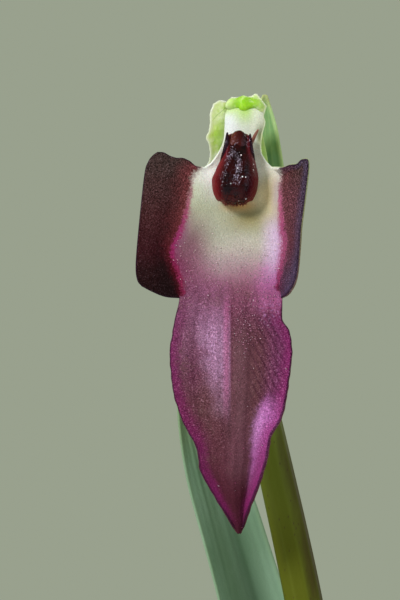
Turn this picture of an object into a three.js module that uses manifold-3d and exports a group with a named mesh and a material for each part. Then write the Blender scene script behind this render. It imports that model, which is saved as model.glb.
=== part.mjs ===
// A tongue orchid in a plain clay pot, in millimetres, +Z up.
// The origin is the centre of the pot's flat underside. The flower faces -Y.
// One flower stands on a leaning stem: its hood is gone, so the lip shows whole, from the torn
// green base of the flower down to the tip of the tongue, with the dark callus on its throat.
import * as THREE from "three";
import { mergeVertices } from "three/addons/utils/BufferGeometryUtils.js";
import Module from "manifold-3d";

const wasm = await Module();
wasm.setup();

// Driving dimensions
const CLEARANCE = 0.35; // between pieces that touch on the plant
const SHEATH_GAP = 0.5; // between the stem and a leaf wrapped round it
const BLADE = 0.7; // thickness of leaves and bract
const POT = {
  height: 80,
  rimRadius: 45,
  rimBand: 16,
  rimStep: 3.2,
  baseRadius: 30,
  wall: 4.8,
  wallAtRim: 5.2,
  floor: 6,
  edge: 1.2,
};
const DRAIN = { count: 3, radius: 3.5, ring: 15 };
const SOIL = { top: 70, holeRadius: 5.2, holeDepth: 10, relief: 0.4, rings: 9 };
const FLOWER = { x: -15.5, y: -8, tip: 206 }; // midline, face and lowest tip of the lip
const LIP = { thickness: 0.6, neckTop: 32.2, lobeTop: 27.7, lobeFoot: 17.9, foot: 0.1 };

// Facets round each turned or lofted piece, and steps along the long ones
const SIDES = { pot: 56, drain: 16, soil: 44, stem: 10, ovary: 24 };
const STEPS = { stem: 40, ovary: 20, leaf: 17, bract: 14 };
const BLADE_COLUMNS = 6;
const WELD = 1e-4; // points closer than this are one point in a solid

const UP = new THREE.Vector3(0, 0, 1);
const FRONT = new THREE.Vector3(0, -1, 0);

// A smooth curve through [place, value] stations, level beyond its ends and never overshooting
function profile(stations) {
  const last = stations.length - 1;
  const steps = stations.slice(1).map(([x, v], i) => (v - stations[i][1]) / (x - stations[i][0]));
  const slopes = stations.map((_, i) => {
    if (i === 0 || i === last) return steps[Math.min(i, last - 1)];
    const [a, b] = [steps[i - 1], steps[i]];
    return a * b > 0 ? (2 * a * b) / (a + b) : 0;
  });
  return (place) => {
    if (place <= stations[0][0]) return stations[0][1];
    if (place >= stations[last][0]) return stations[last][1];
    const i = stations.findIndex(([x]) => x > place) - 1;
    const [x0, v0] = stations[i];
    const [x1, v1] = stations[i + 1];
    const t = (place - x0) / (x1 - x0);
    const bend = (x1 - x0) * t * (1 - t);
    const mix = t * t * (3 - 2 * t);
    return v0 + (v1 - v0) * mix + bend * ((1 - t) * slopes[i] - t * slopes[i + 1]);
  };
}

const lerp = THREE.MathUtils.lerp;
const radians = THREE.MathUtils.degToRad;

// count + 1 even places from one value to another
function places(from, to, count) {
  return Array.from({ length: count + 1 }, (_, i) => lerp(from, to, i / count));
}

function geometryFrom(points, triangles) {
  const geometry = new THREE.BufferGeometry().setFromPoints(points);
  geometry.setIndex(triangles);
  return geometry;
}

// A closed slab between two grids of points; a grid place may be empty, and both are empty alike
function slab(front, back) {
  const points = [];
  const numbers = front.map((row, r) =>
    row.map((p, c) => (p ? [points.push(p) - 1, points.push(back[r][c]) - 1] : null)),
  );
  const triangles = [];
  const edges = new Map();
  const walk = (a, b) => {
    const reverse = `${b[0]},${a[0]}`;
    if (edges.has(reverse)) edges.delete(reverse);
    else edges.set(`${a[0]},${b[0]}`, [a, b]);
  };
  for (let r = 0; r + 1 < front.length; r++)
    for (let c = 0; c + 1 < front[r].length; c++) {
      const [a, b] = [numbers[r][c], numbers[r][c + 1]];
      const [d, e] = [numbers[r + 1][c], numbers[r + 1][c + 1]];
      if (!a || !b || !d || !e) continue;
      for (const [i, j, k] of [[a, d, e], [a, e, b]]) {
        triangles.push(i[0], j[0], k[0], k[1], j[1], i[1]);
        walk(i, j);
        walk(j, k);
        walk(k, i);
      }
    }
  for (const [a, b] of edges.values()) triangles.push(b[0], a[0], a[1], b[0], a[1], b[1]);
  return geometryFrom(points, triangles);
}

// The grid's outward direction at each place, from its neighbours
function gridNormals(grid) {
  return grid.map((row, r) =>
    row.map((p, c) => {
      if (!p) return null;
      const left = row[c - 1] || p;
      const right = row[c + 1] || p;
      const above = (grid[r - 1] && grid[r - 1][c]) || p;
      const below = (grid[r + 1] && grid[r + 1][c]) || p;
      const across = right.clone().sub(left);
      return below.clone().sub(above).cross(across).normalize();
    }),
  );
}

// A sheet of one thickness about a grid of points
function sheet(grid, thickness) {
  const normals = gridNormals(grid);
  const offset = (side) =>
    grid.map((row, r) =>
      row.map((p, c) => p && p.clone().addScaledVector(normals[r][c], (side * thickness) / 2)),
    );
  return slab(offset(1), offset(-1));
}

// A closed solid through rings of points, with flat ends
function loft(rings) {
  const sides = rings[0].length;
  const points = rings.flat();
  const middle = (ring) =>
    ring.reduce((sum, p) => sum.add(p), new THREE.Vector3()).divideScalar(sides);
  const first = points.push(middle(rings[0])) - 1;
  const last = points.push(middle(rings[rings.length - 1])) - 1;
  const triangles = [];
  const end = (rings.length - 1) * sides;
  for (let s = 0; s < sides; s++) {
    const next = (s + 1) % sides;
    for (let r = 0; r + 1 < rings.length; r++) {
      const [a, b] = [r * sides + s, r * sides + next];
      triangles.push(a, b, b + sides, a, b + sides, a + sides);
    }
    triangles.push(first, next, s, last, end + s, end + next);
  }
  return geometryFrom(points, triangles);
}

// Rings of a round stem along a path, radiusAt(share, angle)
function stemRings(path, radiusAt, count, sides) {
  const frames = path.computeFrenetFrames(count);
  return places(0, 1, count).map((share, i) =>
    places(0, 2 * Math.PI, sides).slice(0, -1).map((angle) => {
      const r = radiusAt(share, angle);
      return path
        .getPointAt(share)
        .addScaledVector(frames.normals[i], r * Math.cos(angle))
        .addScaledVector(frames.binormals[i], r * Math.sin(angle));
    }),
  );
}

function turned(outline, segments) {
  const points = outline.map(([r, z]) => new THREE.Vector2(r, z));
  return new THREE.LatheGeometry(points, segments).rotateX(Math.PI / 2);
}

// Booleans
function solidOf(geometry) {
  const bare = new THREE.BufferGeometry();
  bare.setAttribute("position", geometry.getAttribute("position"));
  bare.setIndex(geometry.getIndex());
  const merged = mergeVertices(bare, WELD);
  return new wasm.Manifold(
    new wasm.Mesh({
      numProp: 3,
      vertProperties: merged.getAttribute("position").array,
      triVerts: new Uint32Array(merged.getIndex().array),
    }),
  );
}

function geometryOf(solid) {
  const mesh = solid.getMesh();
  const geometry = new THREE.BufferGeometry();
  geometry.setAttribute("position", new THREE.BufferAttribute(mesh.vertProperties, mesh.numProp));
  geometry.setIndex(new THREE.BufferAttribute(mesh.triVerts, 1));
  return geometry;
}

// Clay pot with a rim band and drain holes
function pot() {
  const { height, rimRadius, rimBand, rimStep, baseRadius, wall, floor, edge } = POT;
  const bandFoot = height - rimBand;
  const inner = potInside(height);
  const shell = turned(
    [
      [0, 0],
      [baseRadius - edge, 0],
      [baseRadius, edge],
      [rimRadius - rimStep, bandFoot - edge],
      [rimRadius - edge, bandFoot],
      [rimRadius - edge / 2, bandFoot + edge],
      [rimRadius, height - edge],
      [rimRadius - edge, height],
      [inner + edge, height],
      [inner, height - edge],
      [potInside(floor + edge), floor + edge],
      [potInside(floor) - edge, floor],
      [0, floor],
    ],
    SIDES.pot,
  );
  let solid = solidOf(shell);
  for (let i = 0; i < DRAIN.count; i++) {
    const angle = Math.PI / 2 + (i * 2 * Math.PI) / DRAIN.count;
    const drill = new THREE.CylinderGeometry(DRAIN.radius, DRAIN.radius, 3 * floor, SIDES.drain)
      .rotateX(Math.PI / 2)
      .translate(DRAIN.ring * Math.cos(angle), DRAIN.ring * Math.sin(angle), floor / 2);
    solid = solid.subtract(solidOf(drill));
  }
  return geometryOf(solid);
}

// The pot's inner radius at a height
function potInside(z) {
  return lerp(POT.baseRadius - POT.wall, POT.rimRadius - POT.wallAtRim, z / POT.height);
}

// Height of a lump in the potting mix, as a share of its relief
function lump(x, y) {
  const broad = Math.sin(0.55 * x + 0.3 * y) * Math.cos(0.4 * y - 0.2 * x);
  return broad + Math.sin(1.3 * x * y);
}

// Potting mix: fills the pot, lumpy on top, with a plain hole for the plant
function soil() {
  const { top, holeRadius, holeDepth, relief } = SOIL;
  const floor = POT.floor + CLEARANCE;
  const rings = places(holeRadius, potInside(top) - CLEARANCE, SOIL.rings);
  const geometry = turned(
    [
      [0, floor],
      [potInside(floor) - POT.edge - CLEARANCE, floor],
      ...rings.reverse().map((r) => [r, top]),
      [holeRadius, top - holeDepth],
      [0, top - holeDepth],
    ],
    SIDES.soil,
  );
  const place = geometry.getAttribute("position");
  for (let i = 0; i < place.count; i++) {
    const [x, y] = [place.getX(i), place.getY(i)];
    const onTop = Math.abs(place.getZ(i) - top) < CLEARANCE;
    const offTheHole = Math.hypot(x, y) > holeRadius + CLEARANCE;
    if (onTop && offTheHole) place.setZ(i, top + relief * lump(x, y));
  }
  return geometry;
}

// Stem: upright from the mix, then leaning left behind the lip
const STEM = {
  foot: SOIL.top - SOIL.holeDepth + CLEARANCE,
  top: FLOWER.tip + 14.3,
  x: profile([[85, 0], [120, -0.9], [150, -2.9], [175, -5.8], [201, -10.4], [212, -12.8], [221, -14.9]]),
  y: profile([[85, 0], [150, 0.9], [185, 0], [212, -1.7], [221, -2.7]]),
  radius: profile([[60, 2.1], [100, 1.9], [160, 1.6], [200, 1.45], [221, 1.25]]),
  knots: 16,
};

function stemAt(z) {
  return new THREE.Vector3(STEM.x(z), STEM.y(z), z);
}

function stem() {
  const path = new THREE.CatmullRomCurve3(places(STEM.foot, STEM.top, STEM.knots).map(stemAt));
  const radius = (share) => STEM.radius(lerp(STEM.foot, STEM.top, share));
  return loft(stemRings(path, radius, STEPS.stem, SIDES.stem));
}

// Rows of a channelled blade. Each station has the midrib point, the way along, the way the upper
// face looks, the half width and the angle that half of the blade wraps through.
function bladeRows(stations, columns) {
  return stations.map(({ point, along, inward, halfWidth, wrap }) => {
    const radius = halfWidth / wrap;
    const across = new THREE.Vector3().crossVectors(inward, along).normalize();
    return places(-wrap, wrap, columns).map((angle) =>
      point
        .clone()
        .addScaledVector(across, radius * Math.sin(angle))
        .addScaledVector(inward, radius * (1 - Math.cos(angle))),
    );
  });
}

// Every leaf: where it has narrowed beyond its fullest place and by how much, its half width at the
// tip, where the clasp has opened into a channel, how flat that is at the tip, and how late it bends
const LEAF_SHAPE = {
  shoulder: 0.6,
  narrowing: 0.66,
  tipWidth: 0.12,
  opened: 0.25,
  flattening: 0.6,
  droop: 1.3,
};

// A leaf that clasps the stem from foot to sheath height, then spreads away from it: lean is its
// first and last angle outwards, drift the angle it bends sideways within its own width
function leafStations(options) {
  const { foot, sheath, azimuth, ring, clasp, length, lean, drift, halfWidth, channel } = options;
  const { fullest = 0.45 } = options;
  const { shoulder, narrowing, tipWidth, opened, flattening, droop } = LEAF_SHAPE;
  const outward = new THREE.Vector3(Math.cos(radians(azimuth)), Math.sin(radians(azimuth)), 0);
  const sideways = new THREE.Vector3().crossVectors(UP, outward);
  const claspHalf = ring * clasp;
  const stations = places(foot, foot + sheath, 3).map((z) => ({
    point: stemAt(z).addScaledVector(outward, ring),
    along: stemAt(z + 1).sub(stemAt(z - 1)).normalize(),
    inward: outward.clone().negate(),
    halfWidth: claspHalf,
    wrap: clasp,
  }));
  const width = profile([
    [0, claspHalf],
    [fullest, halfWidth],
    [lerp(fullest, 1, shoulder), narrowing * halfWidth],
    [1, tipWidth],
  ]);
  const wrap = profile([[0, clasp], [opened, channel], [1, flattening * channel]]);
  const { point: foothold, along: upward } = stations[stations.length - 1];
  const point = foothold.clone();
  for (let i = 1; i <= STEPS.leaf; i++) {
    const share = i / STEPS.leaf;
    const away = radians(lerp(lean[0], lean[1], share ** droop));
    const aside = radians(drift * (1 - (1 - share) ** 2));
    const along = upward.clone().multiplyScalar(Math.cos(away) * Math.cos(aside));
    along.addScaledVector(outward, Math.sin(away) * Math.cos(aside));
    along.addScaledVector(sideways, Math.sin(aside)).normalize();
    point.addScaledVector(along, length / STEPS.leaf);
    const inward = upward.clone().multiplyScalar(Math.sin(away)).addScaledVector(outward, -Math.cos(away));
    inward.addScaledVector(along, -inward.dot(along)).normalize();
    stations.push({ point: point.clone(), along, inward, halfWidth: width(share), wrap: wrap(share) });
  }
  return stations;
}

function leaf(options) {
  return sheet(bladeRows(leafStations(options), BLADE_COLUMNS), BLADE);
}

// Rosette: two whorls of three, the inner ones clasping the stem and standing steeper
const INNER_RING = STEM.radius(SOIL.top) + CLEARANCE + BLADE / 2;
const OUTER_RING = INNER_RING + BLADE + CLEARANCE;
const ROSETTE = [
  { azimuth: 208, ring: OUTER_RING, length: 74, lean: [14, 96], drift: 12, halfWidth: 5.6 },
  { azimuth: 322, ring: OUTER_RING, length: 82, lean: [12, 88], drift: -14, halfWidth: 6.0 },
  { azimuth: 84, ring: OUTER_RING, length: 78, lean: [12, 92], drift: 10, halfWidth: 5.8 },
  { azimuth: 266, ring: INNER_RING, length: 88, lean: [12, 58], drift: -10, halfWidth: 5.2 },
  { azimuth: 24, ring: INNER_RING, length: 98, lean: [9, 50], drift: 9, halfWidth: 5.6 },
  { azimuth: 146, ring: INNER_RING, length: 92, lean: [10, 54], drift: -12, halfWidth: 5.2 },
];

function rosetteLeaf({ ring, ...rest }) {
  const outer = ring === OUTER_RING;
  return leaf({
    foot: STEM.foot + 2,
    sheath: outer ? 12 : 16,
    clasp: outer ? 0.8 : 0.85,
    ring,
    channel: 0.95,
    ...rest,
  });
}

// Two leaves higher up sheathe the stem; the upper one stands behind the tip of the lip
const STEM_LEAVES = [
  { foot: 96, sheath: 20, azimuth: 335, length: 52, lean: [6, 34], drift: 10, halfWidth: 4.4, fullest: 0.45 },
  { foot: 132, sheath: 19, azimuth: 122, length: 70, lean: [4, 5], drift: 9.8, halfWidth: 3.2, fullest: 0.74 },
];

function stemLeaf(options) {
  const ring = STEM.radius(options.foot) + SHEATH_GAP + BLADE / 2;
  return leaf({ ring, clasp: 2.3, channel: 1.05, ...options });
}

// Flower places: u to the right of the midline, h above the tip, y back from the face
function flowerPoint(u, h, y) {
  return new THREE.Vector3(FLOWER.x + u, FLOWER.y + y, FLOWER.tip + h);
}

// Lip: edges of the middle strip, from the tip of the tongue up to the neck
const LIP_LEFT = profile([
  [0, 0.05], [1.3, -0.7], [3.3, -1.9], [5.1, -2.8], [6.3, -2.95], [8.8, -4.15], [11.2, -4.8], [13.9, -5.07],
  [16.3, -4.7], [18, -4.1], [20.2, -5.0], [21.5, -4.95], [23, -4.3], [26.4, -3.55], [27.7, -2.45],
  [29, -1.35], [30, -0.95], [32.2, -1.0],
]);
const LIP_RIGHT = profile([
  [0, 0.35], [2, 0.95], [4, 1.7], [6.2, 2.3], [7.3, 2.45], [9.1, 3.4], [11.7, 3.9], [14, 4.1], [15.4, 3.9],
  [16.4, 3.3], [18, 3.1], [20.2, 3.1], [22.1, 3.35], [24, 3.15], [27, 3.4], [27.7, 2.65], [29, 1.8],
  [30, 1.6], [32.2, 1.6],
]);
// Depth of the midline, hollow of the throat, waves of the tongue and curl of its right margin
const LIP_SPINE = profile([
  [0, 2.2], [3, 1.2], [7, 0], [12, -1.1], [16, -1.5], [18, -1.4], [21, -0.9], [25, -0.2], [28, 0.1],
  [30, 0.4], [32.5, 0.9],
]);
const LIP_HOLLOW = profile([[16, 0], [18, 0.3], [20, 0.8], [24, 1.4], [27.7, 1.1], [30, 0.6], [32.5, 0.3]]);
const LIP_WAVE = profile([[0, 0.05], [2, 0.25], [6, 0.5], [14, 0.5], [18, 0.15], [20, 0]]);
const LIP_CURL = profile([[0.5, 0], [3, 0.6], [8, 0.8], [12, 0.3], [15, 0]]);
const WAVE_SPAN = 1.24; // one wave, in half widths of the lip
const LIP_STEPS = { neck: 6, throat: 14, tongue: 26, across: 10, leftLobe: 4, rightLobe: 3 };

function lipDepth(across, h) {
  const wave = LIP_WAVE(h) * Math.sin((Math.PI * across) / WAVE_SPAN) ** 2;
  const curl = LIP_CURL(h) * Math.max(0, across) ** 4;
  return LIP_SPINE(h) - LIP_HOLLOW(h) * across ** 2 + wave - curl;
}

function lipStrip(across, h) {
  const u = lerp(LIP_LEFT(h), LIP_RIGHT(h), (across + 1) / 2);
  return flowerPoint(u, h, lipDepth(across, h));
}

// Side lobes: the top, outer and lower edges, and how far each comes forward from the fold
const LEFT_LOBE = {
  side: -1,
  top: edge([[-2.45, 27.7], [-3.1, 27.85], [-4, 28.35], [-5.3, 28.75], [-5.95, 28.85]]),
  outer: edge([
    [-5.95, 28.85], [-6.65, 28.2], [-6.95, 27.1], [-7.35, 23.2], [-7.6, 20.4], [-7.45, 19.2], [-7.05, 18.75],
  ]),
  foot: edge([[-4.1, 17.9], [-5.4, 17.95], [-6.4, 18.35], [-7.05, 18.75]]),
  forward: profile([[0, 0], [0.5, 0.7], [1, 0.8]]),
};
const RIGHT_LOBE = {
  side: 1,
  top: edge([[2.65, 27.7], [3.4, 27.68], [4.3, 27.95], [5.1, 28.3]]),
  outer: edge([[5.1, 28.3], [5.3, 27.7], [5.0, 25], [4.8, 21.8], [4.55, 20], [4.25, 19], [3.85, 18.3]]),
  foot: edge([[3.1, 17.9], [3.5, 18.0], [3.85, 18.3]]),
  forward: profile([[0, 0], [0.5, 1.7], [1, 2.9]]),
};

function edge(points) {
  return new THREE.SplineCurve(points.map(([u, h]) => new THREE.Vector2(u, h)));
}

// A point of a side lobe: out is 0 at the fold and 1 at the outer edge, down runs along the fold
function lobePoint(lobe, out, down) {
  const edgeOf = lobe.side < 0 ? LIP_LEFT : LIP_RIGHT;
  const foldHeight = (share) => lerp(LIP.lobeTop, LIP.lobeFoot, share);
  const fold = (share) => new THREE.Vector2(edgeOf(foldHeight(share)), foldHeight(share));
  const corner = (o, d) => (o ? lobe.outer.getPointAt(d) : fold(d));
  const place = fold(down)
    .multiplyScalar(1 - out)
    .addScaledVector(lobe.outer.getPointAt(down), out)
    .addScaledVector(lobe.top.getPointAt(out), 1 - down)
    .addScaledVector(lobe.foot.getPointAt(out), down);
  for (const [o, d] of [[0, 0], [0, 1], [1, 0], [1, 1]])
    place.addScaledVector(corner(o, d), -(o ? out : 1 - out) * (d ? down : 1 - down));
  return flowerPoint(place.x, place.y, lipDepth(lobe.side, foldHeight(down)) - lobe.forward(out));
}

function lip() {
  const strip = places(-1, 1, LIP_STEPS.across);
  const leftOut = places(1, 0, LIP_STEPS.leftLobe).slice(0, -1);
  const rightOut = places(0, 1, LIP_STEPS.rightLobe).slice(1);
  const bare = (h) => [
    ...leftOut.map(() => null),
    ...strip.map((across) => lipStrip(across, h)),
    ...rightOut.map(() => null),
  ];
  const lobed = (h, down) => [
    ...leftOut.map((out) => lobePoint(LEFT_LOBE, out, down)),
    ...strip.map((across) => lipStrip(across, h)),
    ...rightOut.map((out) => lobePoint(RIGHT_LOBE, out, down)),
  ];
  const { neckTop, lobeTop, lobeFoot, foot, thickness } = LIP;
  const rows = [
    ...places(neckTop, lobeTop, LIP_STEPS.neck).slice(0, -1).map(bare),
    ...places(lobeTop, lobeFoot, LIP_STEPS.throat).map((h, i) => lobed(h, i / LIP_STEPS.throat)),
    ...places(lobeFoot, foot, LIP_STEPS.tongue).slice(1).map(bare),
  ];
  return sheet(rows, thickness);
}

// Callus: a pear-shaped body, furrowed down its middle, on the throat of the lip
const SEAT_GAP = 0.5; // from the lip's face, measured straight forward
const CALLUS = {
  top: 30.45,
  foot: 24.9,
  left: profile([
    [24.9, -0.9], [25.3, -1.5], [26, -1.82], [26.6, -1.86], [27.9, -1.38], [29, -0.95], [30, -0.85],
    [30.45, -0.55],
  ]),
  right: profile([
    [24.9, 0.45], [25.3, 1.05], [26, 1.47], [26.8, 1.58], [27.9, 1.45], [29, 1.23], [30, 1.15], [30.45, 0.8],
  ]),
  bulge: profile([
    [24.9, 0.3], [25.4, 1.1], [26.4, 1.6], [28, 1.3], [29.5, 0.95], [30.2, 0.75], [30.45, 0.4],
  ]),
  rim: 0.3,
  roundness: 0.98,
  furrow: 0.22,
  furrowWidth: 0.22,
  rows: 12,
  columns: 10,
};

function callus() {
  const { top, foot, left, right, bulge, rim, roundness, furrow, furrowWidth, rows, columns } = CALLUS;
  const seat = (u, h) => {
    const across = (2 * u - LIP_LEFT(h) - LIP_RIGHT(h)) / (LIP_RIGHT(h) - LIP_LEFT(h));
    return lipDepth(across, h) - LIP.thickness / 2 - SEAT_GAP;
  };
  const grid = (raise) =>
    places(top, foot, rows).map((h) =>
      places(-1, 1, columns).map((across) => {
        const u = lerp(left(h), right(h), (across + 1) / 2);
        return flowerPoint(u, h, seat(u, h) - raise(across, h));
      }),
    );
  const dome = (across, h) => {
    const round = Math.sqrt(1 - roundness * across ** 2);
    return rim + bulge(h) * (round - furrow * Math.exp(-((across / furrowWidth) ** 2)));
  };
  return slab(grid(dome), grid(() => 0));
}

// Ovary: ribbed and slowly twisting, from the stem's top up behind the lip
const OVARY = {
  path: [
    [0.6, 5.35, 14.8], [0.5, 5.55, 18], [0.8, 5.4, 23], [0.9, 4.7, 27.2], [0.6, 3.6, 30.4], [0.2, 3.1, 32.4],
  ],
  radius: profile([[0, 1.15], [0.2, 1.4], [0.5, 1.6], [0.85, 1.5], [1, 1.4]]),
  ribs: 6,
  ribHeight: 0.12,
  twist: 1.2,
};
// Collar: what is left of the flower's base, a torn half tube behind the neck of the lip
const COLLAR = {
  foot: 27.9,
  left: profile([[28.2, -1.9], [29.4, -2.05], [30, -2.3], [30.5, -2.05], [31.9, -1.95], [32.6, -1.7]]),
  right: profile([[28.2, 2.0], [29.4, 1.8], [30.3, 1.9], [31.2, 2.1], [31.6, 2.0], [32.4, 2.2]]),
  rim: profile([
    [0, 32.5], [0.12, 32.75], [0.28, 32.6], [0.34, 33.05], [0.6, 32.95], [0.8, 33.25], [0.9, 32.9],
    [1, 32.35],
  ]),
  depth: profile([[0, 0.3], [0.12, 1.55], [0.35, 2.55], [0.55, 2.8], [0.8, 2.4], [1, 1.35]]),
  funnel: 1.3,
  thickness: 0.6,
  rows: 6,
  columns: 14,
};

function ovary() {
  const path = new THREE.CatmullRomCurve3(OVARY.path.map(([u, y, h]) => flowerPoint(u, h, y)));
  const radius = (share, angle) =>
    OVARY.radius(share) + OVARY.ribHeight * Math.cos(OVARY.ribs * (angle + OVARY.twist * share));
  const body = loft(stemRings(path, radius, STEPS.ovary, SIDES.ovary));
  const rows = places(0, 1, COLLAR.rows).map((down) =>
    places(0, 1, COLLAR.columns).map((across) => {
      const h = lerp(COLLAR.rim(across), COLLAR.foot, down);
      const u = lerp(COLLAR.left(h), COLLAR.right(h), across);
      return flowerPoint(u, h, COLLAR.depth(across) + COLLAR.funnel * down * down);
    }),
  );
  return geometryOf(solidOf(body).add(solidOf(sheet(rows, COLLAR.thickness))));
}

// Bract: a narrow leaf that clasps the ovary from behind
const BRACT = {
  foot: 13.2,
  tip: 33.4,
  halfWidth: profile([[0, 2.15], [0.3, 2.6], [0.6, 2.6], [0.85, 1.5], [1, 0.15]]),
  wrap: profile([[0, 1.15], [0.4, 0.95], [1, 0.7]]),
  side: profile([[0, 1.0], [0.5, 1.3], [1, 2.2]]),
  back: profile([[0, 7.6], [0.3, 8.15], [0.6, 7.75], [1, 6.3]]),
};

function bract() {
  const { foot, tip, side, back, halfWidth, wrap } = BRACT;
  const at = (share) => flowerPoint(side(share), lerp(foot, tip, share), back(share));
  const nearby = 0.3 / STEPS.bract;
  const stations = places(0, 1, STEPS.bract).map((share) => {
    const along = at(Math.min(1, share + nearby)).sub(at(Math.max(0, share - nearby))).normalize();
    const inward = FRONT.clone().addScaledVector(along, -FRONT.dot(along)).normalize();
    return { point: at(share), along, inward, halfWidth: halfWidth(share), wrap: wrap(share) };
  });
  return sheet(bladeRows(stations, BLADE_COLUMNS), BLADE);
}

// Materials
const clay = new THREE.MeshStandardMaterial({ color: 0xb5684a, roughness: 0.85 });
const pottingMix = new THREE.MeshStandardMaterial({ color: 0x3b2a20, roughness: 1 });
const stemGreen = new THREE.MeshStandardMaterial({ color: 0x5a5f1e, roughness: 0.5 });
const leafGreen = new THREE.MeshStandardMaterial({ color: 0x5f8a6c, roughness: 0.55 });
const freshGreen = new THREE.MeshStandardMaterial({ color: 0x8fc14a, roughness: 0.5 });
const maroon = new THREE.MeshStandardMaterial({ color: 0x6b2340, roughness: 0.6 });
const darkRed = new THREE.MeshStandardMaterial({ color: 0x2a0708, roughness: 0.15 });

const plant = new THREE.Group();

function add(name, geometry, material) {
  const mesh = new THREE.Mesh(geometry, material);
  mesh.name = name;
  plant.add(mesh);
}

add("pot", pot(), clay);
add("soil", soil(), pottingMix);
add("stem", stem(), stemGreen);
ROSETTE.forEach((options, i) => add(`rosette_leaf_${i + 1}`, rosetteLeaf(options), leafGreen));
STEM_LEAVES.forEach((options, i) => add(`stem_leaf_${i + 1}`, stemLeaf(options), leafGreen));
add("bract", bract(), leafGreen);
add("ovary", ovary(), freshGreen);
add("lip", lip(), maroon);
add("callus", callus(), darkRed);

export default plant;
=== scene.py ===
"""A potted tongue orchid: one flower on a leaning stem over a rosette, in a clay pot of soil.

Shapes are worked out in millimetres, with the flower's own places written as (u, h, y): to the right
of the lip's midline, above the tip of its tongue, and back from its face.
"""
import math

import bpy
import numpy as np
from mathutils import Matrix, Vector, noise


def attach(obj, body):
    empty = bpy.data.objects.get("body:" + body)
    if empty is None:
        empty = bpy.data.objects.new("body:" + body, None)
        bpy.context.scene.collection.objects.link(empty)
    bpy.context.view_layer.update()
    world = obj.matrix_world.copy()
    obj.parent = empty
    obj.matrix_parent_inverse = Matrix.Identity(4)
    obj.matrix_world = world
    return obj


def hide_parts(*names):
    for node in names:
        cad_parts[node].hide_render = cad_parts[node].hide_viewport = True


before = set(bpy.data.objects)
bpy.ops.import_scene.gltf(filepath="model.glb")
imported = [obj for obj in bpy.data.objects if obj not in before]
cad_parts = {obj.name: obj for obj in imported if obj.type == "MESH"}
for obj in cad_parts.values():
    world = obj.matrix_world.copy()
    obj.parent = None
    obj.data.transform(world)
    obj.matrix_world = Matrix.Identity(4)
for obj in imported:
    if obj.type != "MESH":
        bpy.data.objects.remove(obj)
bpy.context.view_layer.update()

MM = 0.001

# The photo's frame: its size, the lip's midline and tip in it, and its scale on the lip
PHOTO_WIDTH = 400
PHOTO_HEIGHT = 600
MIDLINE_PIXEL = 237
TIP_PIXEL = 536
PIXELS_PER_MM = 13.3
CAMERA_DISTANCE = 330
SENSOR = 36

# The flower's place, in the frame of the pot's foot
FLOWER_X = -15.5
FLOWER_Y = -8.0
FLOWER_TIP = 206.0

# Sizes shared by several pieces
BLADE = 0.7
CLEARANCE = 0.35
SHEATH_GAP = 0.5
SOIL_TOP = 70
HOLE_DEPTH = 10


# Numbers and curves


def profile(*stations):
    """A smooth curve through (place, value) stations, which never overshoots them."""
    x, v = np.array(stations, float).T
    step = np.diff(v) / np.diff(x)
    slope = np.concatenate([step[:1], np.zeros(len(x) - 2), step[-1:]])
    before, after = step[:-1], step[1:]
    same = before * after > 0
    slope[1:-1][same] = 2 * before[same] * after[same] / (before[same] + after[same])

    def value(place):
        place = np.clip(place, x[0], x[-1])
        i = np.clip(np.searchsorted(x, place, side="right") - 1, 0, len(x) - 2)
        width = x[i + 1] - x[i]
        t = (place - x[i]) / width
        mix = t * t * (3 - 2 * t)
        bend = width * t * (1 - t) * ((1 - t) * slope[i] - t * slope[i + 1])
        return v[i] + (v[i + 1] - v[i]) * mix + bend

    return value


def ease(value, low, high):
    """0 below low, 1 above high and smooth between; high may be the smaller."""
    t = np.clip((value - low) / (high - low), 0, 1)
    return t * t * (3 - 2 * t)


def bell(value, width):
    return np.exp(-((value / width) ** 2))


def mix(a, b, share):
    return a + (b - a) * share


def shares(count):
    """Even steps from 0 to 1."""
    return np.linspace(0, 1, count)


def circle(count):
    """Even angles once round."""
    return np.linspace(0, 2 * math.pi, count, endpoint=False)


def closing(place, bluntness, least=0.0):
    """1 along a body, falling round to least where place is 1 or -1."""
    return np.sqrt(np.clip(1 - place**bluntness, least, 1))


def unit(vectors):
    length = np.linalg.norm(vectors, axis=-1, keepdims=True)
    return vectors / np.maximum(length, 1e-9)


def spline(points, place):
    """A smooth curve through rows of numbers, at places counted in rows."""
    points = np.array(points, float)
    padded = np.vstack([2 * points[0] - points[1], points, 2 * points[-1] - points[-2]])
    i = np.clip(np.floor(place).astype(int), 0, len(points) - 2)
    t = (place - i)[..., None]
    a, b, c, d = (padded[i + k] for k in range(4))
    bend = (2 * a - 5 * b + 4 * c - d) * t + (3 * b - a - 3 * c + d) * t**2
    return b + 0.5 * t * (c - a + bend)


def route(points, share):
    """Places at shares of the length of a smooth curve through the points."""
    fine = spline(points, np.linspace(0, len(points) - 1, 40 * len(points)))
    run = np.concatenate([[0], np.cumsum(np.linalg.norm(np.diff(fine, axis=0), axis=1))])
    at = np.clip(share, 0, 1) * run[-1]
    return np.stack([np.interp(at, run, fine[:, k]) for k in range(fine.shape[1])], -1)


def rough(points, size, seed):
    """Smooth random numbers from about -1 to 1 over space, with lumps of the given size."""
    shift = Vector((17.3, 5.1, 9.7)) * seed
    flat = points.reshape(-1, 3) / size
    values = [noise.noise(Vector(p) + shift) for p in flat]
    return np.array(values).reshape(points.shape[:-1])


def in_flower(u, h, y):
    """Points of the flower in the row's frame."""
    u, h, y = np.broadcast_arrays(u, h, y)
    return np.stack([FLOWER_X + u, FLOWER_Y + y, FLOWER_TIP + h], -1)


# Meshes: each maker gives points, faces and marks, which are values kept on the points


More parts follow.
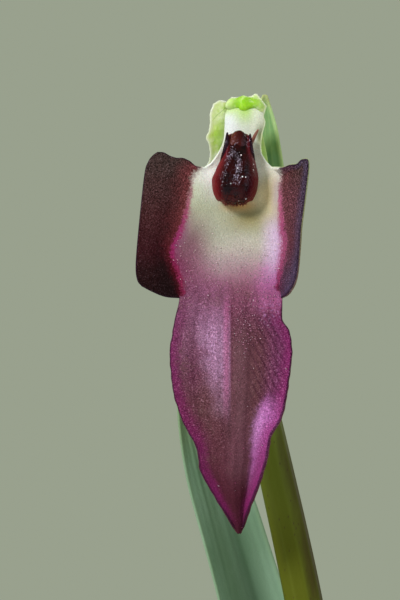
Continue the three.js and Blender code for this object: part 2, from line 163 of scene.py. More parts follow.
def sheet(grid, thickness, marks, here=None, lift=0.0, keel=0.0, roundness=0.9):
    """A thin closed skin about a grid of points whose rows run down and columns run to the right.
    here marks which places exist, lift raises the front and keel the back, and roundness is how far
    the rim swells past the grid, as a share of half the thickness."""
    rows, columns = grid.shape[:2]
    count = rows * columns
    here = np.ones((rows, columns), bool) if here is None else here
    thickness, lift, keel = (
        np.broadcast_to(part, (rows, columns)).reshape(-1, 1) for part in (thickness, lift, keel)
    )
    number = np.arange(count).reshape(rows, columns)
    quads = np.stack([number[:-1, :-1], number[1:, :-1], number[1:, 1:], number[:-1, 1:]], -1)
    quads = quads.reshape(-1, 4)
    quads = quads[here.ravel()[quads].all(1)]
    middle = grid.reshape(-1, 3)
    across = middle[quads[:, 2]] - middle[quads[:, 0]]
    along = middle[quads[:, 3]] - middle[quads[:, 1]]
    normal = np.zeros_like(middle)
    for corner in range(4):
        np.add.at(normal, quads[:, corner], np.cross(across, along))
    normal = unit(normal)

    edges = np.concatenate([quads[:, [k, (k + 1) % 4]] for k in range(4)])
    forth = edges[:, 0] * count + edges[:, 1]
    back = edges[:, 1] * count + edges[:, 0]
    rim = edges[~np.isin(forth, back)]
    outward = np.zeros_like(middle)
    run = middle[rim[:, 1]] - middle[rim[:, 0]]
    for end in range(2):
        np.add.at(outward, rim[:, end], np.cross(run, normal[rim[:, end]]))
    outward = unit(outward)

    half = thickness / 2
    points = np.concatenate(
        [
            middle + normal * (half + lift),
            middle - normal * (half + keel),
            middle + outward * half * roundness,
        ]
    )
    i, j = rim[:, 0], rim[:, 1]
    faces = np.concatenate(
        [
            quads,
            quads[:, ::-1] + count,
            np.stack([j, i, i + 2 * count, j + 2 * count], -1),
            np.stack([j + 2 * count, i + 2 * count, i + count, j + count], -1),
        ]
    )
    side = np.repeat([1.0, -1.0, 0.0], count)
    kept = {name: np.tile(part.reshape(count, -1), (3, 1)) for name, part in marks.items()}
    kept["side"] = side[:, None]
    used, faces = np.unique(faces, return_inverse=True)
    faces = faces.reshape(-1, 4)
    return points[used], faces.tolist(), {name: part[used] for name, part in kept.items()}


def ringed(rings, marks=None):
    """A closed body through rings of points that run round anticlockwise as seen from its last ring,
    with a middle point at each end."""
    rows, sides = rings.shape[:2]
    points = np.concatenate([rings.reshape(-1, 3), rings[:1].mean(1), rings[-1:].mean(1)])
    number = np.arange(rows * sides).reshape(rows, sides)
    after = np.roll(number, -1, axis=1)
    walls = np.stack([number[:-1], after[:-1], after[1:], number[1:]], -1).reshape(-1, 4).tolist()
    first, last = rows * sides, rows * sides + 1
    starts = [[first, b, a] for a, b in zip(number[0], after[0])]
    ends = [[last, a, b] for a, b in zip(number[-1], after[-1])]
    kept = {}
    for name, part in (marks or {}).items():
        part = part.reshape(rows, sides, -1)
        ends_kept = [part[:1].mean(1), part[-1:].mean(1)]
        kept[name] = np.concatenate([part.reshape(rows * sides, -1), *ends_kept])
    return points, walls + starts + ends, kept


def tube(path, radius, sides, ribs=0.0):
    """A closed round body along a path, with a radius for each place and side; place marks how far
    along it each point is, from 0 to 1, and which way it faces round it."""
    radius = np.broadcast_to(radius, (len(path), sides))
    tangent = unit(np.gradient(path, axis=0))
    normal = np.zeros_like(tangent)
    start = np.array([0, -1.0, 0]) if abs(tangent[0][1]) < 0.9 else np.array([1.0, 0, 0])
    for i, way in enumerate(tangent):
        start = unit(start - way * start.dot(way))
        normal[i] = start
    binormal = np.cross(tangent, normal)
    turn = circle(sides)[:, None]
    round_it = normal[:, None] * np.cos(turn) + binormal[:, None] * np.sin(turn)
    rings = path[:, None] + radius[..., None] * round_it
    along = shares(len(path))[:, None]
    place = np.stack(np.broadcast_arrays(along, np.cos(turn.T), np.sin(turn.T)), -1)
    ribs = np.broadcast_to(ribs, radius.shape)
    return ringed(rings, {"place": place, "ribs": ribs})


def turned(outline, segments, swell):
    """A body turned about the pot's axis from an outline of radius and height, from its foot up the
    outside; swell adds to the radius."""
    r, z = outline.T[..., None]
    turn = circle(segments)[None]
    r = r + swell(r, z, turn)
    rings = np.stack(np.broadcast_arrays(r * np.cos(turn), r * np.sin(turn), z), -1)
    return ringed(rings)


def joined(*parts):
    """Several makers' results as one mesh; marks that a part lacks are zero there."""
    names = {name: part.shape[1] for _, _, marks in parts for name, part in marks.items()}
    points = np.concatenate([part[0] for part in parts])
    faces = []
    start = 0
    for part_points, part_faces, _ in parts:
        faces += [[start + i for i in face] for face in part_faces]
        start += len(part_points)
    marks = {
        name: np.concatenate([m.get(name, np.zeros((len(p), width))) for p, _, m in parts])
        for name, width in names.items()
    }
    return points, faces, marks


def object_of(name, made, material):
    points, faces, marks = made
    mesh = bpy.data.meshes.new(name)
    mesh.from_pydata((points * MM).tolist(), [], faces)
    for mark, values in marks.items():
        kind, field = ("FLOAT", "value") if values.shape[1] == 1 else ("FLOAT_VECTOR", "vector")
        kept = mesh.attributes.new(mark, kind, "POINT").data
        kept.foreach_set(field, values.ravel().astype(np.float32))
    mesh.shade_smooth()
    mesh.materials.append(material)
    made_object = bpy.data.objects.new(name, mesh)
    bpy.context.scene.collection.objects.link(made_object)
    return made_object


def fit(piece, slot, *nodes):
    """Puts a finished piece on the body, in place of CAD nodes where it stands for them."""
    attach(piece, "root")
    if nodes:
        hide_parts(*nodes)
    return piece


def settled(source, name):
    """The plain mesh that an object's modifiers make, as a new object; the modifiers are removed."""
    bpy.context.view_layer.update()
    view = bpy.context.evaluated_depsgraph_get()
    mesh = bpy.data.meshes.new_from_object(
        source.evaluated_get(view), preserve_all_data_layers=True, depsgraph=view
    )
    source.modifiers.clear()
    made = bpy.data.objects.new(name, mesh)
    bpy.context.scene.collection.objects.link(made)
    return made


# Node graphs, for finishes and for scattered pieces


class Link:
    """A node's output as a term in Python sums; link["Name"] is another output of its node."""

    def __init__(self, graph, socket):
        self.graph = graph
        self.socket = socket

    def __getitem__(self, name):
        return Link(self.graph, self.socket.node.outputs[name])

    def maths(self, operation, *terms):
        return self.graph.add("ShaderNodeMath", {"operation": operation}, dict(enumerate(terms)))

    def __add__(self, other):
        return self.maths("ADD", self, other)

    def __sub__(self, other):
        return self.maths("SUBTRACT", self, other)

    def __rsub__(self, other):
        return self.maths("SUBTRACT", other, self)

    def __mul__(self, other):
        return self.maths("MULTIPLY", self, other)

    def __truediv__(self, other):
        return self.maths("DIVIDE", self, other)

    def __neg__(self):
        return self.maths("MULTIPLY", self, -1)

    __radd__ = __add__
    __rmul__ = __mul__

    def wave(self):
        return self.maths("SINE", self)

    def size(self):
        return self.maths("ABSOLUTE", self)

    def most(self, other):
        return self.maths("MAXIMUM", self, other)

    def rise(self, low, high):
        """0 at low, 1 at high and smooth between; high may be the smaller."""
        inputs = {"Value": self, "From Min": low, "From Max": high}
        return self.graph.add("ShaderNodeMapRange", {"interpolation_type": "SMOOTHSTEP"}, inputs)

    def near(self, centre, width):
        """1 at centre, falling smoothly to 0 at width on both sides."""
        return (self - centre).size().rise(width, 0)

    def tints(self, *stops):
        """A colour that runs smoothly through stops of a value and a display colour."""
        low, high = stops[0][0], stops[-1][0]
        stops = [((value - low) / (high - low), shade(*colour)) for value, colour in stops]
        share = (self - low) / (high - low)
        return self.graph.add("ShaderNodeValToRGB", {"stops": stops}, {0: share})

    def wash(self, colour, share):
        """This colour with another laid over it, as thickly as the share says."""
        return self.graph.blend(self, colour, share)


def fill_ramp(ramp, stops):
    while len(ramp.elements) > 1:
        ramp.elements.remove(ramp.elements[-1])
    ramp.elements[0].position, ramp.elements[0].color = stops[0]
    for place, colour in stops[1:]:
        ramp.elements.new(place).color = colour


class Graph:
    """A node tree written as Python expressions."""

    def __init__(self, tree):
        self.tree = tree

    def add(self, kind, settings=None, inputs=None, output=0):
        node = self.tree.nodes.new(kind)
        for name, value in (settings or {}).items():
            if name == "stops":
                fill_ramp(node.color_ramp, value)
            else:
                setattr(node, name, value)
        for key, value in (inputs or {}).items():
            if isinstance(value, Link):
                self.tree.links.new(value.socket, node.inputs[key])
            else:
                node.inputs[key].default_value = value
        return Link(self, node.outputs[output]) if node.outputs else node

    def parts(self, vector):
        split = self.add("ShaderNodeSeparateXYZ", inputs={0: vector})
        return split["X"], split["Y"], split["Z"]

    def mark(self, name):
        """A number kept on the points."""
        return self.add("ShaderNodeAttribute", {"attribute_name": name})["Fac"]

    def marks(self, name):
        """Three numbers kept on the points."""
        return self.parts(self.add("ShaderNodeAttribute", {"attribute_name": name})["Vector"])

    def space(self, x=1.0, y=1.0, z=1.0):
        """Object space in millimetres, stretched by the given factors."""
        place = self.add("ShaderNodeTexCoord")["Object"]
        scale = (x / MM, y / MM, z / MM)
        return self.add("ShaderNodeVectorMath", {"operation": "MULTIPLY"}, {0: place, 1: scale})

    def grain(self, size, detail=2.0, roughness=0.5, stretch=(1, 1, 1)):
        """Soft noise from 0 to 1 with features of the given size."""
        place = self.space(*stretch)
        inputs = {"Vector": place, "Scale": 1 / size, "Detail": detail, "Roughness": roughness}
        return self.add("ShaderNodeTexNoise", inputs=inputs)

    def cells(self, size, stretch=(1, 1, 1)):
        """The distance to the centres of cells of the given size."""
        inputs = {"Vector": self.space(*stretch), "Scale": 1 / size}
        return self.add("ShaderNodeTexVoronoi", inputs=inputs)["Distance"]

    def vector(self, x, y, z):
        return self.add("ShaderNodeCombineXYZ", inputs={0: x, 1: y, 2: z})

    def chance(self, low, high, seed, turns=False):
        """A random number from low to high for each point, or a vector of turns. The node has limits
        of several kinds under one name, so they are reached by number."""
        kind, first, output = ("FLOAT_VECTOR", 0, 0) if turns else ("FLOAT", 2, 1)
        inputs = {first: low, first + 1: high, "Seed": seed}
        return self.add("FunctionNodeRandomValue", {"data_type": kind}, inputs, output)

    def blend(self, a, b, share):
        """A mix of two colours, each a link or a display colour, at the node's colour sockets."""
        a, b = (shade(*colour) if isinstance(colour, tuple) else colour for colour in (a, b))
        return self.add("ShaderNodeMix", {"data_type": "RGBA"}, {0: share, 6: a, 7: b}, output=2)

    def scaled(self, colour, factor):
        return self.add("ShaderNodeVectorMath", {"operation": "SCALE"}, {0: colour, "Scale": factor})

    def relief(self, height, depth, strength=1.0):
        """A bumped normal: height from 0 to 1 stands for a depth in millimetres."""
        inputs = {"Height": height, "Distance": depth * MM, "Strength": strength}
        return self.add("ShaderNodeBump", inputs=inputs)


def shade(red, green, blue):
    """A display colour, each part from 0 to 1, as the linear colour that nodes take."""
    parts = (red, green, blue)
    linear = [part / 12.92 if part <= 0.04045 else ((part + 0.055) / 1.055) ** 2.4 for part in parts]
    return (*linear, 1.0)


def look(colour, roughness, normal=None):
    """The inputs of a finish that vary over a surface."""
    inputs = {"Base Color": colour, "Roughness": roughness}
    return {**inputs, "Normal": normal} if normal else inputs


def finish(name, paint, **settings):
    """A material: paint gives the inputs that vary, and settings the ones that don't."""
    material = bpy.data.materials.new(name)
    material.use_nodes = True
    material.node_tree.nodes.clear()
    graph = Graph(material.node_tree)
    labels = {key: key.replace("_", " ").title().replace("Ior", "IOR") for key in settings}
    fixed = {labels[key]: value for key, value in settings.items()}
    surface = graph.add("ShaderNodeBsdfPrincipled", inputs={**fixed, **paint(graph)})
    graph.add("ShaderNodeOutputMaterial", inputs={"Surface": surface})
    return material


def growth_tree(name, build):
    """A Geometry Nodes tree that grows copies of a small shape on a surface.
    build(graph) gives the shape, and the tree's inputs set where and how large."""
    tree = bpy.data.node_groups.new(name, "GeometryNodeTree")
    face = tree.interface
    face.new_socket("Surface", in_out="INPUT", socket_type="NodeSocketGeometry")
    for label in ("Density", "Smallest", "Largest", "Slimness", "Lean", "Sink"):
        face.new_socket(label, in_out="INPUT", socket_type="NodeSocketFloat")
    face.new_socket("Seed", in_out="INPUT", socket_type="NodeSocketInt")
    face.new_socket("Finish", in_out="INPUT", socket_type="NodeSocketMaterial")
    face.new_socket("Growth", in_out="OUTPUT", socket_type="NodeSocketGeometry")
    graph = Graph(tree)
    given = graph.add("NodeGroupInput")
    number = {"data_type": "FLOAT"}
    share = graph.add("GeometryNodeInputNamedAttribute", number, {"Name": "growth"})["Attribute"]
    spots = graph.add(
        "GeometryNodeDistributePointsOnFaces",
        inputs={"Mesh": given["Surface"], "Density": given["Density"] * share, "Seed": given["Seed"]},
    )
    size = graph.chance(given["Smallest"], given["Largest"], seed=1)
    width = size * given["Slimness"]
    lean = given["Lean"]
    least, most = graph.vector(-lean, -lean, 0.0), graph.vector(lean, lean, 2 * math.pi)
    tilt = graph.chance(least, most, seed=2, turns=True)
    tilt = graph.add("FunctionNodeEulerToRotation", inputs={0: tilt})
    rotation = graph.add(
        "FunctionNodeRotateRotation", {"rotation_space": "LOCAL"}, {0: spots["Rotation"], 1: tilt}
    )
    scale = graph.vector(width, width, size)
    copies = graph.add(
        "GeometryNodeInstanceOnPoints",
        inputs={"Points": spots, "Instance": build(graph), "Rotation": rotation, "Scale": scale},
    )
    sunk = graph.vector(0.0, 0.0, -given["Sink"])
    drop = {"Instances": copies, "Translation": sunk, "Local Space": True}
    copies = graph.add("GeometryNodeTranslateInstances", inputs=drop)
    copies = graph.add(
        "GeometryNodeStoreNamedAttribute",
        {"data_type": "FLOAT", "domain": "INSTANCE"},
        {"Geometry": copies, "Name": "tint", "Value": graph.chance(0.0, 1.0, seed=3)},
    )
    plain = graph.add("GeometryNodeRealizeInstances", inputs={0: copies})
    painted = graph.add("GeometryNodeSetMaterial", inputs={"Geometry": plain, "Material": given["Finish"]})
    graph.add("NodeGroupOutput", inputs={"Growth": painted})
    return tree


def spike(graph):
    """A slim pointed hair, one unit tall."""
    inputs = {"Vertices": 5, "Side Segments": 2, "Radius Top": 0.0, "Radius Bottom": 0.5, "Depth": 1.0}
    return graph.add("GeometryNodeMeshCone", {"fill_type": "NGON"}, inputs)


def crumb(graph):
    """An uneven lump, about one unit across."""
    ball = graph.add("GeometryNodeMeshUVSphere", inputs={"Radius": 0.5, "Segments": 7, "Rings": 5})
    place = graph.add("GeometryNodeInputPosition")
    jag = graph.add("ShaderNodeTexNoise", inputs={"Vector": place, "Scale": 2.2, "Detail": 2.0})["Color"]
    jag = graph.add("ShaderNodeVectorMath", {"operation": "SUBTRACT"}, {0: jag, 1: (0.5, 0.5, 0.5)})
    return graph.add("GeometryNodeSetPosition", inputs={"Geometry": ball, "Offset": jag})


def grown(name, surface, tree, material, sizes, **options):
    """What the tree grows on a surface, as a plain mesh: the smallest and largest size are in
    millimetres, and options fill the tree's other named inputs."""
    modifier = surface.modifiers.new(name, "NODES")
    modifier.node_group = tree
    faces = [item for item in tree.interface.items_tree if item.in_out == "INPUT"]
    sockets = {item.name: item.identifier for item in faces}
    given = {label.title(): value for label, value in options.items()}
    given |= {"Smallest": sizes[0] * MM, "Largest": sizes[1] * MM, "Finish": material}
    for label, value in given.items():
        modifier[sockets[label]] = value
    made = settled(surface, name)
    made.data.shade_smooth()
    return made


# The lip: a flat middle strip from the neck down to the tip of the tongue, with two side lobes

LIP_THICKNESS = 0.6
LIP_EDGE_SHARE = 0.38
TIP_ROUNDING = 0.5
NECK_TOP = 32.2
LOBE_TOP = 27.7
LOBE_FOOT = 17.9
LIP_FOOT = 0.1
LIP_LEFT = profile(
    (0, 0.05), (1.3, -0.7), (3.3, -1.9), (5.1, -2.8), (6.3, -2.95), (8.8, -4.15), (11.2, -4.83),
    (13.9, -5.04), (14.7, -4.93), (16.3, -4.65), (18, -4.3), (20.2, -5.0), (21.5, -4.95), (23, -4.3),
    (26.4, -3.55), (27.7, -2.45), (28.0, -2.0), (28.5, -1.6), (29, -1.3), (30, -0.9), (31, -0.85),
    (32.2, -0.8),
)
LIP_RIGHT = profile(
    (0, 0.35), (2, 0.95), (4, 1.7), (6.2, 2.3), (7.3, 2.45), (9.1, 3.37), (11.7, 3.86), (14, 4.1),
    (15.4, 3.9), (16.4, 3.34), (17.4, 3.36), (18, 3.36), (20.2, 3.1), (22.1, 3.35), (24, 3.15),
    (27, 3.4), (27.7, 2.6), (28.3, 2.08), (29, 1.76), (30, 1.7), (31, 1.95), (32.2, 1.85),
)
LIP_SPINE = profile(
    (0, 2.2), (3, 1.2), (7, 0), (12, -1.1), (16, -1.5), (18, -1.4), (21, -0.9), (25, -0.2), (28, 0.1),
    (30, 0.4), (32.5, 0.9),
)
LIP_HOLLOW = profile(
    (16, 0), (18, 0.3), (20, 0.8), (22.5, 1.2), (25, 0.9), (27.7, 0.5), (30, 0.4), (32.5, 0.3)
)
LIP_WAVE = profile((0, 0.05), (2, 0.25), (6, 0.5), (14, 0.5), (18, 0.15), (20, 0))
LIP_CURL = profile((0.5, 0), (3, 0.6), (8, 0.8), (12, 0.3), (15, 0))
WAVE_SPAN = 1.24
# Low relief down the tongue: its height, its middle and width across, and the heights over which it
# starts and ends
LIP_RELIEF = (
    (0.16, -1.25, 0.6, (5, 9), (18.5, 16)),
    (-0.13, -0.45, 0.17, (4, 9), (18.6, 16.5)),
    (-0.14, 0.9, 0.8, (7, 10), (17, 14)),
)
NECK_ROWS = 44
THROAT_ROWS = 100
TONGUE_ROWS = 176
LIP_COLUMNS = 69
OUTLINE_STEPS = 160
FLUSH_STEPS = 220
LEFT_LOBE = {
    "side": -1,
    "columns": 34,
    "top": [
        (-2.45, 27.7), (-3.1, 27.8), (-3.55, 28.15), (-4.05, 28.37), (-4.55, 28.38), (-5.05, 28.54),
        (-5.5, 28.78), (-5.96, 28.81),
    ],
    "outer": [
        (-5.96, 28.81), (-6.28, 28.58), (-6.63, 28.12), (-6.93, 27.1), (-7.34, 23.2), (-7.56, 20.4),
        (-7.45, 19.25), (-7.13, 18.79),
    ],
    "foot": [(-4.32, 17.9), (-5.4, 18.0), (-6.4, 18.4), (-7.13, 18.79)],
    "forward": profile((0, 0), (0.5, 0.7), (1, 0.8)),
}
RIGHT_LOBE = {
    "side": 1,
    "columns": 24,
    "top": [(2.65, 27.7), (3.4, 27.65), (3.95, 27.83), (4.44, 27.89), (4.74, 28.17), (5.06, 28.27)],
    "outer": [
        (5.06, 28.27), (5.27, 28.12), (5.28, 27.4), (4.97, 25), (4.72, 23.2), (4.62, 21.8), (4.46, 20),
        (4.24, 19), (3.85, 18.3),
    ],
    "foot": [(3.36, 17.9), (3.6, 18.05), (3.85, 18.3)],
    "forward": profile((0, 0), (0.5, 1.7), (1, 2.9)),
}
# Where the pale throat turns dark, by height, and where the tongue's right side turns to the light
LEFT_FLUSH = [
    (-4.0, 18.3), (-4.3, 19.2), (-4.6, 20.15), (-4.95, 21.13), (-4.84, 21.95), (-4.36, 22.86),
    (-3.88, 24.23), (-3.66, 25.3), (-3.5, 26.2), (-3.44, 27.0), (-2.75, 27.64),
]
RIGHT_FLUSH = [
    (3.05, 18.74), (3.36, 20.0), (3.6, 21.2), (3.7, 22.11), (3.58, 22.87), (3.48, 24.02),
    (3.36, 25.94), (3.36, 26.99), (3.2, 27.47),
]
LIT_SIDE = profile((1.0, 0.7), (1.95, 0.8), (4.2, 0.95), (7.2, 1.13), (9.5, 1.6), (10.4, 2.0), (11.5, 2.9))


def lip_depth(across, h):
    wave = LIP_WAVE(h) * np.sin(math.pi * across / WAVE_SPAN) ** 2
    curl = LIP_CURL(h) * np.maximum(0, across) ** 4
    return LIP_SPINE(h) - LIP_HOLLOW(h) * across**2 + wave - curl


def lobe_places(lobe, out, down):
    """Places (u, h) on a side lobe: out is 0 at the fold and 1 at the outer edge, down runs along
    the fold."""
    edge = LIP_LEFT if lobe["side"] < 0 else LIP_RIGHT
    h = mix(LOBE_TOP, LOBE_FOOT, down)
    fold = np.stack([edge(h), h], -1)
    o, d = out[..., None], down[..., None]
    top, foot = np.array(lobe["top"]), np.array(lobe["foot"])
    sides = mix(fold, route(lobe["outer"], down), o) + mix(route(top, out), route(foot, out), d)
    return sides - mix(mix(top[0], top[-1], o), mix(foot[0], foot[-1], o), d)


def nearest(places, line):
    """Distances from places to a finely stepped line."""
    parts = [np.sqrt(((part[:, None] - line) ** 2).sum(-1).min(1)) for part in np.array_split(places, 80)]
    return np.concatenate(parts)


def lip_outline():
    step = shares(OUTLINE_STEPS)
    tongue = np.linspace(LIP_FOOT, LOBE_FOOT, 300)
    neck = np.linspace(LOBE_TOP, NECK_TOP, 90)
    edges = [np.stack([edge(h), h], -1) for edge in (LIP_LEFT, LIP_RIGHT) for h in (tongue, neck)]
    for lobe in (LEFT_LOBE, RIGHT_LOBE):
        edges += [route(lobe[name], step) for name in ("top", "outer", "foot")]
    return np.concatenate(edges)


def flush_depth(u, h, across):
    """How far a place lies in the dark of a side lobe, negative out in the pale throat."""
    shape = u.shape
    lobed = np.abs(across.ravel()) > 1
    places = np.stack([u, h], -1).reshape(-1, 2)
    step = shares(FLUSH_STEPS)
    depths = []
    for side, line in ((-1, LEFT_FLUSH), (1, RIGHT_FLUSH)):
        edge = profile(*[(h_at, u_at) for u_at, h_at in line])
        beyond = side * (places[:, 0] - edge(places[:, 1])) > 0
        beyond &= (places[:, 1] > line[0][1] - 0.25) | (lobed & (side * places[:, 0] > 0))
        far = nearest(places, route(line, step))
        depths.append(np.where(beyond, far, -far))
    return np.maximum(*depths).reshape(shape)


def lip_surface():
    """The whole lip with its relief, and its places and edges marked for its finish."""
    neck = np.linspace(NECK_TOP, LOBE_TOP, NECK_ROWS)[:-1]
    throat = np.linspace(LOBE_TOP, LOBE_FOOT, THROAT_ROWS)
    tongue = np.linspace(LOBE_FOOT, LIP_FOOT, TONGUE_ROWS)[1:]
    h = np.concatenate([neck, throat, tongue])[:, None]
    across = np.linspace(-1, 1, LIP_COLUMNS)[None]
    wobble = 0.012 * (np.sin(4.7 * h) + np.sin(7.3 * h + across)) * ease(h, 17.5, 15) * ease(h, 0, 1.5)
    middle, half = (LIP_LEFT(h) + LIP_RIGHT(h)) / 2, (LIP_RIGHT(h) - LIP_LEFT(h)) / 2
    half = half * np.sqrt(np.clip((h - LIP_FOOT + 0.01) / TIP_ROUNDING, 0, 1))
    u = middle + half * across + wobble * across**4
    h, across = np.broadcast_arrays(h, across)
    rolled = 0.7 * np.abs(across) ** 3 * ease(h, 28.6, 30.2) + 0.25 * ease(h, 31.4, 32.4)
    y = lip_depth(across, h) + rolled

    rows, above = h.shape[0], len(neck)
    lobed = slice(above, above + len(throat))
    here = [np.ones(h.shape, bool)]
    parts = [np.stack([u, h, y, across], -1)]
    for lobe in (LEFT_LOBE, RIGHT_LOBE):
        outs = shares(lobe["columns"] + 1)[1:][:: lobe["side"]]
        out, down = np.meshgrid(outs, shares(THROAT_ROWS))
        place = lobe_places(lobe, out, down)
        sway = 0.10 * np.sin(5.3 * down + 2 * lobe["side"]) * out**2
        depth = lip_depth(lobe["side"], mix(LOBE_TOP, LOBE_FOOT, down)) - lobe["forward"](out) + sway
        part = np.zeros((rows, len(outs), 4))
        part[lobed] = np.stack([place[..., 0], place[..., 1], depth, lobe["side"] * (1 + out)], -1)
        mask = np.zeros((rows, len(outs)), bool)
        mask[lobed] = True
        at = 0 if lobe["side"] < 0 else len(parts)
        parts.insert(at, part)
        here.insert(at, mask)
    u, h, y, across = np.moveaxis(np.concatenate(parts, 1), -1, 0)
    here = np.concatenate(here, 1)

    rim = nearest(np.stack([u, h], -1).reshape(-1, 2), lip_outline()).reshape(u.shape)
    flush = flush_depth(u, h, across)
    relief = np.zeros_like(u)
    for height, centre, width, starts, ends in LIP_RELIEF:
        relief += height * bell(u - centre, width) * ease(h, *starts) * ease(h, *ends)
    veins = np.cos(26 * across + 0.6 * np.sin(0.9 * h)) * ease(h, 19, 16) * ease(rim, 0.05, 0.5)
    grid = in_flower(u, h, y)
    swell = 0.07 * rough(grid, 2.6, 1) + 0.03 * rough(grid, 0.8, 2)
    lift = relief + 0.012 * veins + swell * ease(rim, 0, 1)
    thickness = LIP_THICKNESS * mix(LIP_EDGE_SHARE, 1.0, ease(rim, 0, 1.3))
    lit = u - LIT_SIDE(h)
    marks = {"place": np.stack([u, h, across], -1), "edges": np.stack([flush, rim, lit], -1)}
    points, faces, marks = sheet(grid, thickness, marks, here, lift, -0.5 * lift, roundness=0.25)
    place, edges, front = marks["place"], marks["edges"], marks["side"][:, 0] > 0.5
    pale = edges[:, 0] < 0
    base_of_tongue = bell(place[:, 1] - 15.8, 1.6) * bell(place[:, 0] - 0.6, 1.1)
    velvet = 0.12 * ease(place[:, 1], 27, 20) * mix(0.25, 1, ease(place[:, 1], 14, 18)) + base_of_tongue
    growth = np.where(pale, velvet, 0.0) * ease(edges[:, 1], 0.05, 0.25) * front
    marks["growth"] = growth[:, None]
    return points, faces, marks


# The callus: a glossy pear on the throat with a knob between two horns

CALLUS_TOP = 30.3
CALLUS_FOOT = 24.85
CALLUS_LEFT = profile(
    (24.85, -1.1), (25.25, -1.55), (26, -1.84), (26.7, -1.9), (27.4, -1.64), (29, -0.98), (30, -0.85),
    (30.45, -0.65),
)
CALLUS_RIGHT = profile(
    (24.85, 0.75), (25.25, 1.2), (26, 1.5), (26.8, 1.6), (27.9, 1.42), (29, 1.13), (30, 1.05), (30.45, 0.85)
)
CALLUS_BULGE = profile(
    (24.9, 0.9), (25.4, 1.35), (26.4, 1.75), (28, 1.4), (29.1, 0.95), (29.8, 0.6), (30.3, 0.3)
)
CALLUS_RIM = 0.75
CALLUS_SEAT = 0.3
CALLUS_ROWS = 90
CALLUS_SIDES = 96
FURROW = -0.1
# The knob: its middle (u, h), and its half width, depth and height
KNOB = (0.12, 29.35, 0.76, 0.52, 1.1)
KNOB_ROWS = 32
KNOB_STANDS_OFF = 1.05
# Horns: places up each one (u, h), its radius there, and whether it is dark
HORNS = [
    ([(-1.3, 27.6), (-0.98, 28.6), (-0.8, 29.5), (-0.73, 30.34)], (0.1, 0.2, 0.17, 0.08), True),
    ([(1.3, 27.6), (1.1, 28.6), (0.98, 29.5), (0.98, 30.24)], (0.1, 0.2, 0.17, 0.08), True),
    ([(1.0, 29.3), (1.12, 29.6), (1.32, 30.05), (1.6, 30.56)], (0.12, 0.13, 0.11, 0.05), False),
]
HORN_ROWS = 26
HORN_SIDES = 14
HORN_LEAN = profile((0, 0.5), (0.35, 0.95), (0.6, 1.15), (1, 1.05))


def throat_depth(u, h):
    across = (2 * u - LIP_LEFT(h) - LIP_RIGHT(h)) / (LIP_RIGHT(h) - LIP_LEFT(h))
    return lip_depth(across, h) - LIP_THICKNESS / 2


def callus_pear():
    down = (np.sin(np.linspace(-1, 1, CALLUS_ROWS)[:, None] * math.pi / 2) + 1) / 2
    h = mix(CALLUS_TOP, CALLUS_FOOT, down)
    turn = circle(CALLUS_SIDES)[None]
    across, forward = np.cos(turn), np.sin(turn)
    narrowing = closing(2 * down - 1, 20)
    middle = (CALLUS_LEFT(h) + CALLUS_RIGHT(h)) / 2
    u = middle + (CALLUS_RIGHT(h) - CALLUS_LEFT(h)) / 2 * across * narrowing
    furrow = 0.2 * bell(across - FURROW, 0.28) * ease(h, 24.9, 25.6) * ease(h, 29.2, 28.0)
    cheek = 0.02 * np.cos(7.5 * across + 1.1) * (1 - across**2)
    ridge = 0.22 * bell(np.abs(across) - 0.82, 0.16) * ease(h, 27.6, 29.0) * ease(h, 30.3, 30.0)
    front = CALLUS_BULGE(h) * (forward - furrow) + cheek * ease(h, 25, 26) + ridge
    back = forward * (CALLUS_RIM + CALLUS_SEAT)
    y = throat_depth(middle, h) - CALLUS_RIM - np.where(forward > 0, front, back) * narrowing
    h = h + 0.08 * np.sin(9 * u) * (down > 0.9) * (down - 0.9) * 10 * narrowing
    rings = in_flower(u, h, y)
    lumps = 0.035 * rough(rings, 0.5, 3) + 0.05 * rough(rings, 1.1, 4)
    rings[..., 1] -= lumps * np.maximum(forward, 0)
    across, down = np.broadcast_arrays(across, down)
    fringe = ease(down, 0.955, 0.985) * (forward > 0)
    return ringed(rings, {"place": np.stack([across, down, 0 * down], -1), "growth": fringe[..., None]})


def callus_knob():
    u, h, wide, deep, tall = KNOB
    turn = circle(CALLUS_SIDES)[None]
    tilt = np.linspace(-math.pi / 2, math.pi / 2, KNOB_ROWS + 2)[1:-1][:, None]
    level = np.cos(tilt)
    y = throat_depth(u, h) - KNOB_STANDS_OFF + deep * level * np.sin(turn)
    ball = in_flower(u + wide * level * np.cos(turn), h + tall * np.sin(tilt), y)
    ball = ball + 0.07 * rough(ball, 0.4, 5)[..., None]
    place = np.zeros(ball.shape)
    place[..., 2] = 0.7 + 0.3 * ease(np.sin(tilt), -0.6, 0.2)
    return ringed(ball, {"place": place})


def callus_horn(line, radii, dark):
    step = shares(HORN_ROWS)
    u, h = route(line, step).T
    radius = profile(*zip(shares(len(radii)), radii))(step) * closing((step - 0.5) * 2, 12) + 0.005
    path = in_flower(u, h, throat_depth(u, h) - HORN_LEAN(step))
    points, faces, marks = tube(path, radius[:, None], HORN_SIDES)
    part = 0.5 * ease(marks["place"][:, 0], 0.2, 0.6) if dark else np.full(len(points), 1.5)
    return points, faces, {"place": np.stack([0 * part, 0 * part, part], -1)}


def callus_body():
    """The pear, its knob and its horns in one mesh. Its marks are place, as across, down and which
    part it is: near 0 for the pear, 0.5 for a dark horn, 0.7 to 1 for the knob, 1.5 for the pale horn."""
    horns = [callus_horn(line, radii, dark) for line, radii, dark in HORNS]
    return joined(callus_pear(), callus_knob(), *horns)


# The ovary, and the torn collar that is left of the flower's base

